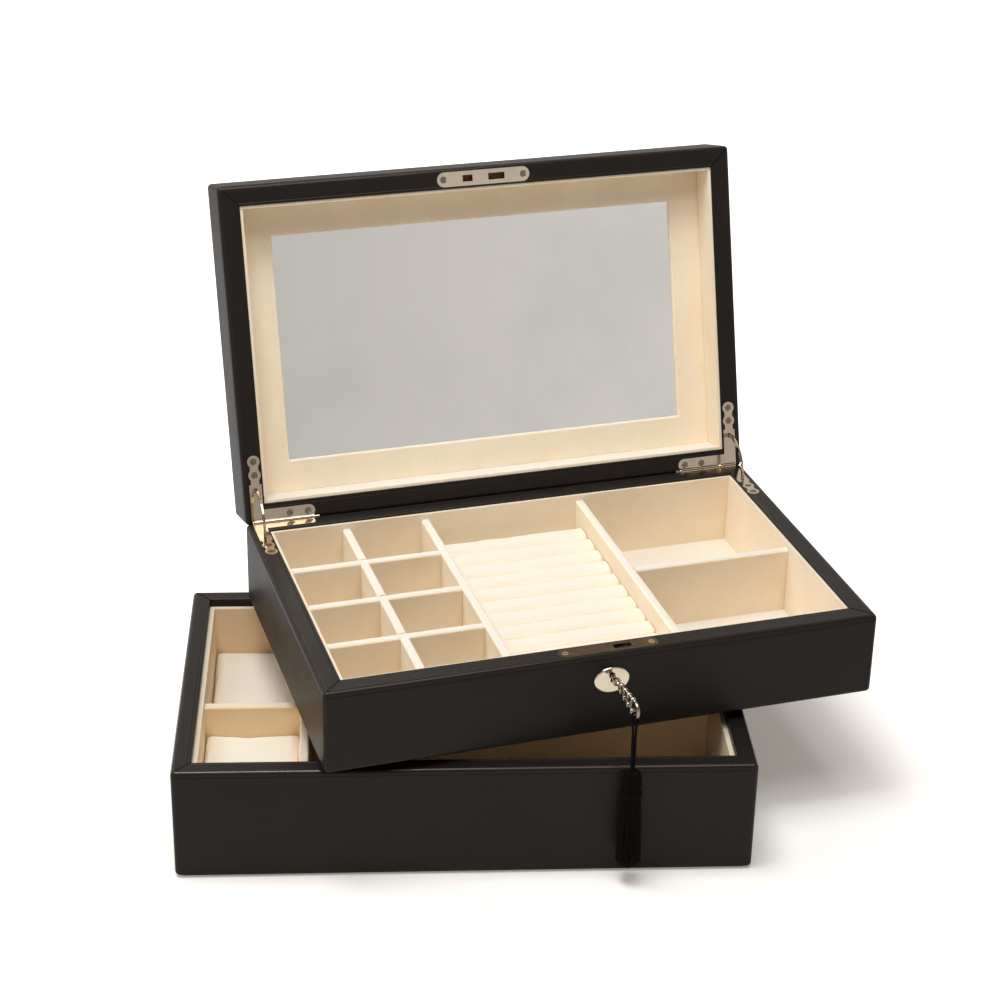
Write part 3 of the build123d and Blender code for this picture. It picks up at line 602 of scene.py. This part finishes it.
def finished(
    piece: Object, body: str, material: Material, sharp: float
) -> Object:
    """Smooth a mesh piece, dress it and let it ride on its body.

    Args:
        piece: the mesh object, in place.
        body: the body that carries it.
        material: its material.
        sharp: angle in degrees above which an edge stays sharp.

    Returns:
        The same piece.
    """
    piece.data.shade_smooth()
    piece.data.set_sharp_from_angle(angle=math.radians(sharp))
    piece.data.materials.clear()
    piece.data.materials.append(material)
    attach(piece, body)
    log.info("built %s on %s: %d faces", piece.name, body, len(piece.data.polygons))
    return piece


def from_bmesh(name: str, work: BMesh, place: Matrix) -> Object:
    """Put a bmesh drawn in a tier's frame into the scene.

    Args:
        name: the new object's name.
        work: the bmesh, which is used up.
        place: the frame that it was drawn in.

    Returns:
        The new object, at the origin with its place in its mesh.
    """
    work.transform(place)
    data = bpy.data.meshes.new(name)
    work.to_mesh(data)
    work.free()
    return linked(name, data)


def baked(piece: Object) -> Mesh:
    """The mesh that a piece's modifiers or its curves' thickness come to."""
    graph = bpy.context.evaluated_depsgraph_get()
    return bpy.data.meshes.new_from_object(piece.evaluated_get(graph))


def thread(name: str, radius: float, resolution: int) -> Curve:
    """Start a curve for round thread.

    Args:
        name: the curve's name.
        radius: the thread's radius, in millimetres.
        resolution: how finely its girth is rounded.

    Returns:
        The curve, without splines yet.
    """
    data = bpy.data.curves.new(name, "CURVE")
    data.dimensions = "3D"
    data.bevel_depth = radius * MM
    data.bevel_resolution = resolution
    data.use_fill_caps = True
    return data


def run(data: Curve, kind: str, places: list[Vector]) -> Spline:
    """Run one thread of a curve.

    Args:
        data: the curve.
        kind: the spline's type.
        places: its points, in metres.

    Returns:
        The spline.
    """
    spline = data.splines.new(kind)
    spline.points.add(len(places) - 1)
    for point, place in zip(spline.points, places):
        point.co = (*place, 1.0)
    return spline


def sway(point: Vector, waves: Waves) -> Vector:
    """Soft unevenness of cloth at a point, from the size and depth of each wave in metres."""
    return sum((noise.noise_vector(point / size) * depth for size, depth in waves), Vector())


def rounded(
    work: BMesh, edges: Iterable[BMEdge], width: float, segments: int,
    profile: float = 0.5,
) -> None:
    """Round edges over.

    Args:
        work: the mesh.
        edges: the edges.
        width: how far from the edge the rounding starts, in millimetres.
        segments: number of faces across it.
        profile: 0.5 for a round, and more for a fuller shape.
    """
    bmesh.ops.bevel(
        work, geom=list(edges), offset=width * MM, segments=segments, profile=profile,
        affect="EDGES", material=-1,
    )


def scored(work: BMesh, point: Vector, across: Vector, width: float) -> None:
    """Score three parallel lines round a mesh, so that the middle one can be pressed in.

    Args:
        work: the mesh.
        point: a point on the middle line, in metres.
        across: direction from line to line.
        width: distance between the outer lines, in millimetres.
    """
    for step in (-0.5, 0.0, 0.5):
        bmesh.ops.bisect_plane(
            work, geom=work.verts[:] + work.edges[:] + work.faces[:], dist=CUT,
            plane_co=point + across * (step * width * MM), plane_no=across,
        )


@dataclass(frozen=True)
class LeatherSkin:
    """Leather of one tier, with mitre seams in its rim and a groove under it, in millimetres."""

    tier: Tier
    rim: float
    rolled: float = 0.4
    flat: float = 0.3
    wall: float = 2.0
    half_width: float = 155.0
    half_depth: float = 98.0
    seam_width: float = 1.3
    seam_depth: float = 0.5
    groove_z: float = 3.1
    groove_width: float = 0.8
    groove_depth: float = 0.45
    sharp: float = 26.0

    def build(self) -> None:
        """Copy the fitted skin, cut the seams and let the piece stand for the node."""
        node = f"{self.tier.value}_leather"
        work = bmesh.new()
        work.from_mesh(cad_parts[node].data)
        bmesh.ops.remove_doubles(work, verts=work.verts, dist=WELD)
        work.transform(self.tier.place.inverted())
        for side in (-1, 1):
            for end in (-1, 1):
                self.cut_seam(work, side, end)
        self.cut_groove(work)
        skin = from_bmesh(f"{self.tier.value}_skin", work, self.tier.place)
        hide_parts(node)
        skin.modifiers.new("flat_sides", "WEIGHTED_NORMAL").keep_sharp = True
        leather = Finishes.leather[self.tier]
        finished(skin, self.tier.body, leather, self.sharp)

    def cut_seam(self, work: BMesh, side: int, end: int) -> None:
        """Press one mitre seam into the rim at a corner.

        Args:
            work: the skin, in the tier's frame.
            side: -1 at the left, 1 at the right.
            end: -1 at the front, 1 at the rear.
        """
        across = Vector((side, -end, 0)).normalized()
        corner = Vector((side * self.half_width, end * self.half_depth, 0)) * MM
        scored(work, corner, across, self.seam_width)
        near, far = -self.rolled * MM, -(self.rim + self.rolled) * MM
        for vertex in work.verts:
            way = vertex.co - corner
            on_rim = far < way.x * side < near and far < way.y * end < near
            if on_rim and abs(way.dot(across)) < WELD and vertex.co.z > -self.flat * MM:
                vertex.co.z -= self.seam_depth * MM

    def cut_groove(self, work: BMesh) -> None:
        """Press the groove that runs round the skin's walls under the rolled rim."""
        level = -self.groove_z * MM
        scored(work, Vector((0, 0, level)), Vector((0, 0, 1)), self.groove_width)
        work.normal_update()
        wide, deep = (self.half_width - self.wall) * MM, (self.half_depth - self.wall) * MM
        pressed = []
        for vertex in work.verts:
            outside = abs(vertex.co.x) > wide or abs(vertex.co.y) > deep
            outward = Vector((vertex.normal.x, vertex.normal.y, 0))
            if outside and outward.dot(vertex.co) > 0 and abs(vertex.co.z - level) < WELD:
                pressed.append((vertex, outward.normalized() * self.groove_depth * MM))
        for vertex, outward in pressed:
            vertex.co -= outward

    def dress(self) -> None:
        """Dress the boards and the panel inside the skin."""
        prefix = self.tier.value
        sides = [f"{prefix}_{side}_board" for side in ("front", "back", "left", "right")]
        sides.append(f"{prefix}_{'top' if self.tier is Tier.LID else 'bottom'}_panel")
        dress(sides, Finishes.board)


@dataclass
class Pad:
    """Cushion of suede over foam, swollen by simulation inside its node's space.

    Its lengths are in millimetres, and the waves of its pucker in metres.
    """

    node: str
    body: str
    crown: float = 0.0
    fill: float = 0.8
    slack: float = 0.5
    sink: float = 0.7
    rise: float = 0.8
    cap: float = 0.9
    voxel: float = 1.8
    corner: float = 1.6
    pressure: float = 4.0
    last_frame: int = 20
    pucker: Waves = ((0.016, 0.0006), (0.006, 0.0002))

    def build(self) -> None:
        """Shape the pad, swell it and let it stand for its node."""
        low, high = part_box(self.node)
        high = high + Vector((0, 0, self.crown * MM))
        work = bmesh.new()
        bmesh.ops.create_cube(work, size=1.0)
        gap = 2 * self.slack
        size = high - low - Vector((gap, gap, gap * self.sink)) * MM
        bmesh.ops.scale(work, vec=size, verts=work.verts)
        middle = (low + high) / 2 - Vector((0, 0, self.sink * self.slack * MM))
        bmesh.ops.translate(work, vec=middle, verts=work.verts)
        rounded(work, work.edges, self.corner, segments=3)
        pad = from_bmesh(f"{self.node}_pad", work, Matrix.Identity(4))
        remesh = pad.modifiers.new("even", "REMESH")
        remesh.mode = "VOXEL"
        remesh.voxel_size = self.voxel * MM
        self.apply(pad)
        self.swell(pad)
        self.settle(pad, low, high)
        smoother = pad.modifiers.new("smoother", "SUBSURF")
        smoother.levels = smoother.render_levels = 1
        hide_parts(self.node)
        finished(pad, self.body, Finishes.pad, ALL_SMOOTH)

    def apply(self, pad: Object) -> None:
        """Make what the modifiers come to the pad's own mesh."""
        pad.data = baked(pad)
        pad.modifiers.clear()

    def swell(self, pad: Object) -> None:
        """Blow the pad up like stuffed cloth, and cap how far each point moves."""
        before = [vertex.co.copy() for vertex in pad.data.vertices]
        cloth = pad.modifiers.new("swell", "CLOTH")
        cloth.settings.use_pressure = True
        cloth.settings.uniform_pressure_force = self.pressure
        cloth.settings.effector_weights.gravity = 0.0
        cloth.point_cache.frame_start = 1
        cloth.point_cache.frame_end = self.last_frame
        for step in range(1, self.last_frame + 1):
            bpy.context.scene.frame_set(step)
        self.apply(pad)
        bpy.context.scene.frame_set(1)
        for vertex, start in zip(pad.data.vertices, before):
            moved = vertex.co - start
            if moved.length > self.cap * MM:
                vertex.co = start + moved.normalized() * self.cap * MM

    def settle(self, pad: Object, low: Vector, high: Vector) -> None:
        """Keep the pad inside its space and let its cloth pucker a little.

        Args:
            pad: the pad.
            low: lowest corner of its space.
            high: highest corner of its space.
        """
        top = high + Vector((0, 0, self.rise * MM))
        for vertex in pad.data.vertices:
            point = vertex.co + sway(vertex.co, self.pucker)
            vertex.co = [min(max(at, least), most) for at, least, most in zip(point, low, top)]


@dataclass
class LowerTray:
    """Bottom tier: leather shell, lined well, dividers and two cushions."""

    skin: LeatherSkin = LeatherSkin(Tier.LOWER, rim=10.4)
    cushions: tuple[tuple[str, float], ...] = (("rear_cushion", 0.0), ("front_cushion", 3.0))

    def build(self) -> None:
        """Build the skin and the cushions."""
        self.skin.build()
        for node, crown in self.cushions:
            Pad(node, Tier.LOWER.body, crown).build()

    def dress(self) -> None:
        """Dress what is carried over."""
        self.skin.dress()
        dress(["base_felt"], Finishes.felt)
        dividers = [f"lower_{way}_divider" for way in ("side", "cross", "long")]
        # The lower tray's lining uses the copy of the cream suede that carries painted shade.
        dress(["lower_liner", "lower_floor_lining", *dividers], Finishes.shade_warmed_lining)


@dataclass(frozen=True)
class RingRolls:
    """Row of soft rolls that hold rings in the slits between them.

    Its lengths are in millimetres, and the waves of its pucker in metres.
    """

    low_x: float = -47.6
    high_x: float = 42.6
    first_y: float = -84.0
    pitch: float = 14.3
    slit: float = 0.5
    count: int = 11
    base_z: float = -26.6
    height: float = 11.0
    crown: float = 4.8
    fullness: float = 0.55
    end_round: float = 1.3
    cuts: int = 28
    long_edge: float = 20.0
    still: float = 2.0
    sideways: float = 0.4
    pucker: Waves = ((0.021, 0.0008), (0.008, 0.0003))

    def build(self) -> None:
        """Build the rolls as one padded piece that stands for its node."""
        work = bmesh.new()
        for index in range(self.count):
            self.add_roll(work, self.first_y + self.pitch * (index + 0.5))
        for vertex in work.verts:
            if vertex.co.z > (self.base_z + self.still) * MM:
                shift = sway(vertex.co, self.pucker)
                vertex.co.z = min(vertex.co.z + shift.z, (self.base_z + self.height) * MM)
                vertex.co.y += self.sideways * shift.y
        rolls = from_bmesh("ring_roll_pad", work, Tier.UPPER.place)
        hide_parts("ring_rolls")
        finished(rolls, Tier.UPPER.body, Finishes.pad, ALL_SMOOTH)

    def add_roll(self, work: BMesh, middle: float) -> None:
        """Add one roll.

        Args:
            work: the bmesh of all the rolls.
            middle: the roll's middle, in millimetres to the rear.
        """
        roll = bmesh.new()
        bmesh.ops.create_cube(roll, size=1.0)
        size = Vector((self.high_x - self.low_x, self.pitch - self.slit, self.height)) * MM
        bmesh.ops.scale(roll, vec=size, verts=roll.verts)
        top = [edge for edge in self.along(roll) if all(end.co.z > 0 for end in edge.verts)]
        rounded(roll, top, self.crown, segments=7, profile=self.fullness)
        ends = [edge for edge in roll.edges if self.reach(edge) < WELD / 2]
        rounded(roll, ends, self.end_round, segments=3)
        bmesh.ops.subdivide_edges(
            roll, edges=self.along(roll), cuts=self.cuts, use_grid_fill=True
        )
        centre = ((self.low_x + self.high_x) / 2, middle, self.base_z + self.height / 2)
        bmesh.ops.translate(roll, vec=Vector(centre) * MM, verts=roll.verts)
        single = bpy.data.meshes.new("roll")
        roll.to_mesh(single)
        roll.free()
        work.from_mesh(single)
        bpy.data.meshes.remove(single)

    def reach(self, edge: BMEdge) -> float:
        """How far an edge runs along the roll, in metres."""
        return abs(edge.verts[0].co.x - edge.verts[1].co.x)

    def along(self, roll: BMesh) -> list[BMEdge]:
        """The long edges of a roll."""
        return [edge for edge in roll.edges if self.reach(edge) > self.long_edge * MM]


@dataclass
class UpperTray:
    """Top tier: leather shell, compartments, ring rolls, hinges and lock."""

    skin: LeatherSkin = LeatherSkin(Tier.UPPER, rim=12.0)
    rolls: RingRolls = RingRolls()

    def build(self) -> None:
        """Build the skin and the ring rolls."""
        self.skin.build()
        self.rolls.build()

    def dress(self) -> None:
        """Dress what is carried over."""
        self.skin.dress()
        dress(["plinth"], Finishes.leather[Tier.UPPER])
        dress(["upper_liner"], Finishes.lining)
        dividers = ["grid_divider", "cross_dividers", "tray_cross_divider"]
        dividers += ["left_ring_divider", "right_ring_divider"]
        dress(["upper_floor_lining", "ring_base", *dividers], Finishes.suede)


@dataclass
class Lid:
    """Lid: leather shell, lined frame and mirror."""

    skin: LeatherSkin = LeatherSkin(Tier.LID, rim=12.0)

    def build(self) -> None:
        """Build the skin."""
        self.skin.build()

    def dress(self) -> None:
        """Dress what is carried over."""
        self.skin.dress()
        dress(["lid_liner", "mirror_frame"], Finishes.suede)
        dress(["mirror"], Finishes.mirror)
        dress(["mirror_backing"], Finishes.backing)


@dataclass
class Hardware:
    """Hinges, stays, lock and key, all metal."""

    hinge_parts: tuple[str, ...] = ("tray_leaf", "lid_leaf", "stay")

    def dress(self) -> None:
        """Dress the metal parts."""
        dress(["strike_plate", "escutcheon"], Finishes.nickel)
        hinges = [f"{side}_{part}" for side in ("left", "right") for part in self.hinge_parts]
        dress([*hinges, "hinge_pins"], Finishes.hinge)
        # The lock plate's nickel is painted dark as shade.
        dress(["lock_plate"], Finishes.shade_painted_nickel)
        dress(["key"], Finishes.key)
        dress(["lock_screws"], Finishes.brass)
        dress(["tray_hinge_screws", "lid_screws"], Finishes.dark)
        dress(["lock_case", "lock_hook"], Finishes.steel)


@dataclass
class Tassel:
    """Silk tassel on a loop of cord that hangs from the key's bow, in millimetres."""

    centre_x: float = 1.2
    out_y: float = -135.0
    axis_z: float = -12.8
    route: tuple[tuple[float, float], ...] = (
        (-0.72, -36.5), (-0.74, -20.0), (-0.85, -9.0), (-2.3, -1.7),
        (2.3, -1.7), (0.85, -9.0), (0.74, -20.0), (0.72, -36.5),
    )
    cord_length: float = 71.61
    cord_width: float = 1.4
    head_top: float = 70.5
    head_radius: float = 4.9
    core: float = 0.9
    neck_z: float = 56.6
    turns: int = 4
    turn_pitch: float = 0.7
    bound_radius: float = 5.15
    bound_thread: float = 0.42
    skirt_end: float = 12.5
    skirt_radius: float = 6.75
    strand_radius: float = 0.4
    strand_sunk: float = 0.1
    strand_steps: int = 8
    uneven_end: float = 2.4
    lean: float = 0.12
    neck_share: float = 0.72
    belly_share: float = 0.24
    hem_share: float = 0.04
    outer_threads: int = 46
    outer_stagger: float = 0.15
    inner_stagger: float = 0.25
    inner_rings: tuple[tuple[float, int], ...] = ((0.78, 30), (0.5, 18), (0.22, 7))
    seed: int = 7

    @property
    def place(self) -> Matrix:
        """Upright frame at the bow, with X along the front and Z up."""
        bow = Vector((self.centre_x, self.out_y, self.axis_z)) * MM
        return Tier.UPPER.place @ Matrix.Translation(bow)

    @property
    def foot(self) -> Vector:
        """The point on the floor below the tassel's middle."""
        bow = self.place.translation
        return Vector((bow.x, bow.y, 0.0))

    def build(self) -> None:
        """Build the cord, the head and the skirt."""
        cord = self.cord()
        head = self.head()
        skirt = self.skirt()
        tuple(self.route_points()[0])

    def route_points(self) -> list[Vector]:
        """The cord's control points, in metres."""
        return [self.place @ (Vector((x, 0.0, z)) * MM) for x, z in self.route]

    def cord(self) -> Object:
        """Build the loop of cord as one smooth spline."""
        data = thread("tassel_loop", self.cord_width / 2, resolution=4)
        spline = run(data, "NURBS", self.route_points())
        spline.order_u = 3
        spline.use_endpoint_u = True
        spline.resolution_u = 12
        data.materials.append(Finishes.silk)
        cord = linked("tassel_loop", data)
        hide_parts("tassel_cord")
        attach(cord, "tassel_cord")
        return cord

    def head(self) -> Object:
        """Build the head: a domed core and the thread that binds the neck."""
        work = bmesh.new()
        radius = self.head_radius * self.core * MM
        bmesh.ops.create_uvsphere(work, u_segments=48, v_segments=16, radius=radius)
        for vertex in work.verts:
            if vertex.co.z < 0:
                vertex.co.z *= (self.head_top - self.neck_z) / self.head_radius - 1.0
        top = Vector((0, 0, (self.head_top - self.head_radius) * MM))
        bmesh.ops.translate(work, vec=self.foot + top, verts=work.verts)
        for turn in range(self.turns):
            self.add_band(work, self.neck_z + self.turn_pitch * (turn - self.turns / 2))
        bmesh.ops.recalc_face_normals(work, faces=work.faces[:])
        head = from_bmesh("tassel_knot", work, Matrix.Identity(4))
        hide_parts("tassel_head")
        return finished(head, "tassel", Finishes.silk, 60.0)

    def add_band(self, work: BMesh, height: float) -> None:
        """Wind one turn of thread round the neck.

        Args:
            work: the head's bmesh.
            height: the turn's height above the floor, in millimetres.
        """
        ring = bmesh.ops.create_circle(work, segments=8, radius=self.bound_thread * MM)["verts"]
        on_edge = Matrix.Rotation(math.pi / 2, 3, "X")
        bmesh.ops.rotate(work, cent=(0, 0, 0), matrix=on_edge, verts=ring)
        centre = self.foot + Vector((0, 0, height * MM))
        outward = Vector((self.bound_radius * MM, 0, 0))
        bmesh.ops.translate(work, vec=centre + outward, verts=ring)
        edges = list(dict.fromkeys(edge for vertex in ring for edge in vertex.link_edges))
        bmesh.ops.spin(
            work, geom=ring + edges, cent=centre, axis=(0, 0, 1), angle=2 * math.pi,
            steps=40, use_merge=True,
        )

    def skirt(self) -> Object:
        """Build the threads, which run over the dome and hang below the neck, as one piece."""
        data = thread("skirt_threads", self.strand_radius, resolution=0)
        seeded = Random(self.seed)
        rings = [(1.0, self.outer_threads, self.outer_stagger, self.over_dome())]
        rings += [(share, count, self.inner_stagger, []) for share, count in self.inner_rings]
        for share, count, stagger, way in rings:
            for index in range(count):
                angle = 2 * math.pi * (index + seeded.uniform(-stagger, stagger)) / count
                self.add_thread(data, way, share, angle, seeded)
        loose = linked("loose_threads", data)
        skirt = linked("tassel_threads", baked(loose))
        bpy.data.objects.remove(loose)
        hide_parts("tassel_skirt")
        return finished(skirt, "tassel", Finishes.silk, 80.0)

    def over_dome(self) -> list[tuple[float, float]]:
        """Lay a thread's way over the head, from the loop to the neck.

        Returns:
            Radius and height of its points, in millimetres.
        """
        reach = self.head_radius - self.strand_sunk
        middle = self.head_top - self.head_radius
        way = [
            (reach * math.sin(turn), middle + reach * math.cos(turn))
            for turn in map(math.radians, (12, 30, 50, 70, 90))
        ]
        return [*way, (reach, (middle + self.neck_z) / 2)]

    def add_thread(
        self, data: Curve, way: list[tuple[float, float]], share: float, angle: float,
        seeded: Random,
    ) -> None:
        """Hang one thread.

        Args:
            data: the curve that holds all the threads.
            way: radius and height of its points above the neck.
            share: how far out the thread hangs, as a share of the skirt's radius.
            angle: where round the neck it starts.
            seeded: the random numbers that loosen it.
        """
        end = self.skirt_end + seeded.uniform(0.0, self.uneven_end)
        lean = seeded.uniform(-self.lean, self.lean)
        steps = self.strand_steps
        points = list(way)
        for index in range(steps):
            down = index / (steps - 1)
            belly = math.sin(min(down * 1.3, 1.0) * math.pi / 2)
            flare = self.neck_share + self.belly_share * belly + self.hem_share * down
            radius = (self.skirt_radius - self.strand_radius) * share * flare
            loose = 1.0 + seeded.uniform(-0.035, 0.03) * (0.3 + 0.7 * down)
            height = self.neck_z + (end - self.neck_z) * down
            points.append((min(radius * loose, self.skirt_radius), height))
        places = []
        for index, (radius, height) in enumerate(points):
            turn = angle + lean * max(index - len(way), 0) / steps
            offset = Vector((math.cos(turn) * radius, math.sin(turn) * radius, height)) * MM
            places.append(self.foot + offset)
        run(data, "POLY", places)


@dataclass(frozen=True)
class Lamp:
    """One soft square lamp that points at the box."""

    name: str
    place: Triple
    size: float
    power: float
    aim: Triple = (0.04, 0.02, 0.12)

    def build(self) -> None:
        """Hang the lamp, in metres and watts."""
        data = bpy.data.lights.new(self.name, "AREA")
        data.size = self.size
        data.energy = self.power
        lamp = linked(self.name, data)
        lamp.location = self.place
        toward = Vector(self.aim) - Vector(self.place)
        lamp.rotation_euler = toward.to_track_quat("-Z", "Y").to_euler()


@dataclass
class Studio:
    """White sweep, soft lamps and the camera, in metres and degrees."""

    lens: float = 83.54
    sensor: float = 36.0
    stand: Triple = (-0.05001, -1.12042, 0.74153)
    tilt: Triple = (63.191, -3.226, -0.435)
    floor_colour: Colour = (0.80, 0.785, 0.765)
    floor_size: float = 6.0
    fade_centre: Triple = (0.03, 0.0, 0.0)
    fade_from: float = 0.17
    fade_to: float = 0.42
    # The floor's glow is painted light: dimmer and warmer near the box, where the warmer tint
    # stands for warm shade, and full white farther out.
    near_share: float = 0.24
    near_glow: Colour = (1.0, 0.88, 0.74)
    mirrored_glow: float = 0.1
    ambient: float = 0.21
    air: Colour = (1.0, 0.98, 0.955)
    ahead: Colour = (0.52, 0.51, 0.475)
    aside: Colour = (0.685, 0.66, 0.635)
    panel_height: float = 0.08
    beyond: Colour = (0.16, 0.14, 0.12)
    behind: Colour = (0.78, 0.755, 0.72)
    lamps: tuple[Lamp, ...] = (
        Lamp("key", (-0.25, -0.1, 1.6), 0.5, 11.5),
        Lamp("overhead", (0.05, -0.35, 1.7), 1.0, 13.5),
        Lamp("rear", (-0.85, 0.35, 1.35), 0.55, 6.0),
        Lamp("side", (-1.2, -0.3, 0.8), 0.6, 2.0),
    )

    def build(self) -> None:
        """Set up the floor, the lamps, the world and the camera."""
        self.floor()
        for lamp in self.lamps:
            lamp.build()
        self.world()
        self.camera()
        bpy.context.scene.view_settings.view_transform = "Standard"

    def floor(self) -> None:
        """Lay the white floor, which the camera sees fade into the white surroundings: it glows
        with painted light, dimmer and warmer near the box, and faintly for gloss.
        """
        work = bmesh.new()
        bmesh.ops.create_grid(work, x_segments=1, y_segments=1, size=self.floor_size)
        floor = from_bmesh("studio_floor", work, Matrix.Identity(4))
        white = Finish("studio_white", self.floor_colour, 0.9)
        material, graph, shader, coords = white.begin(Specular_IOR_Level=0.0)
        shifted = graph.mapped(coords, Location=tuple(-value for value in self.fade_centre))
        away = graph.fill(graph.add("VectorMath", operation="LENGTH"), Vector=shifted)
        away = away.outputs["Value"]
        fade = graph.span(away, self.fade_from, self.fade_to, self.near_share, 1.0)
        seen, glossy = graph.camera_sees()
        mirrored = graph.math("MULTIPLY", glossy, self.mirrored_glow)
        strength = graph.math("MULTIPLY", graph.math("MAXIMUM", seen, mirrored), fade)
        glow = graph.add("Emission")
        graph.fill(glow, Color=graph.mix(fade, self.near_glow, WHITE), Strength=strength)
        both = graph.add("AddShader")
        graph.feed(both.inputs[0], shader.outputs[0])
        graph.feed(both.inputs[1], glow.outputs[0])
        graph.feed(material.node_tree.nodes["Material Output"].inputs[0], both.outputs[0])
        floor.data.materials.append(material)

    def world(self) -> None:
        """White surroundings, greyer in front of the box for the mirror to show."""
        world = bpy.data.worlds.new("studio")
        world.use_nodes = True
        graph = Graph(world.node_tree)
        background = world.node_tree.nodes["Background"]
        x, y, z = graph.split(graph.add("TexCoord").outputs["Generated"])
        panel = graph.mix(graph.span(x, 0.32, 0.6), self.ahead, self.aside)
        height = graph.math("ABSOLUTE", graph.math("SUBTRACT", z, self.panel_height))
        panel = graph.mix(graph.span(height, 0.3, 0.45), panel, self.beyond)
        mirrored = graph.mix(graph.span(y, -0.5, 0.5), panel, self.behind)
        seen, glossy = graph.camera_sees()
        lit = tuple(self.ambient * channel for channel in self.air)
        soft = graph.mix(glossy, lit, mirrored)
        graph.feed(background.inputs["Color"], graph.mix(seen, soft, WHITE))
        bpy.context.scene.world = world

    def camera(self) -> None:
        """Stand the camera in front of the box and a little above it."""
        data = bpy.data.cameras.new("camera")
        data.lens = self.lens
        data.sensor_width = self.sensor
        camera = linked("camera", data)
        turned = Matrix.Identity(4)
        for angle, axis in zip(self.tilt, "XYZ"):
            turned = turned @ Matrix.Rotation(math.radians(angle), 4, axis)
        camera.matrix_world = Matrix.Translation(self.stand) @ turned
        bpy.context.scene.camera = camera


def main() -> None:
    """Build and dress every sub-assembly."""
    logging.basicConfig(level=logging.INFO, format="%(message)s")
    noise.seed_set(PUCKER_SEED)
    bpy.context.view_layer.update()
    Studio().build()
    Tassel().build()
    for assembly in (LowerTray(), UpperTray(), Lid()):
        assembly.build()
        assembly.dress()
    Hardware().dress()


if __name__ == "__main__":
    main()
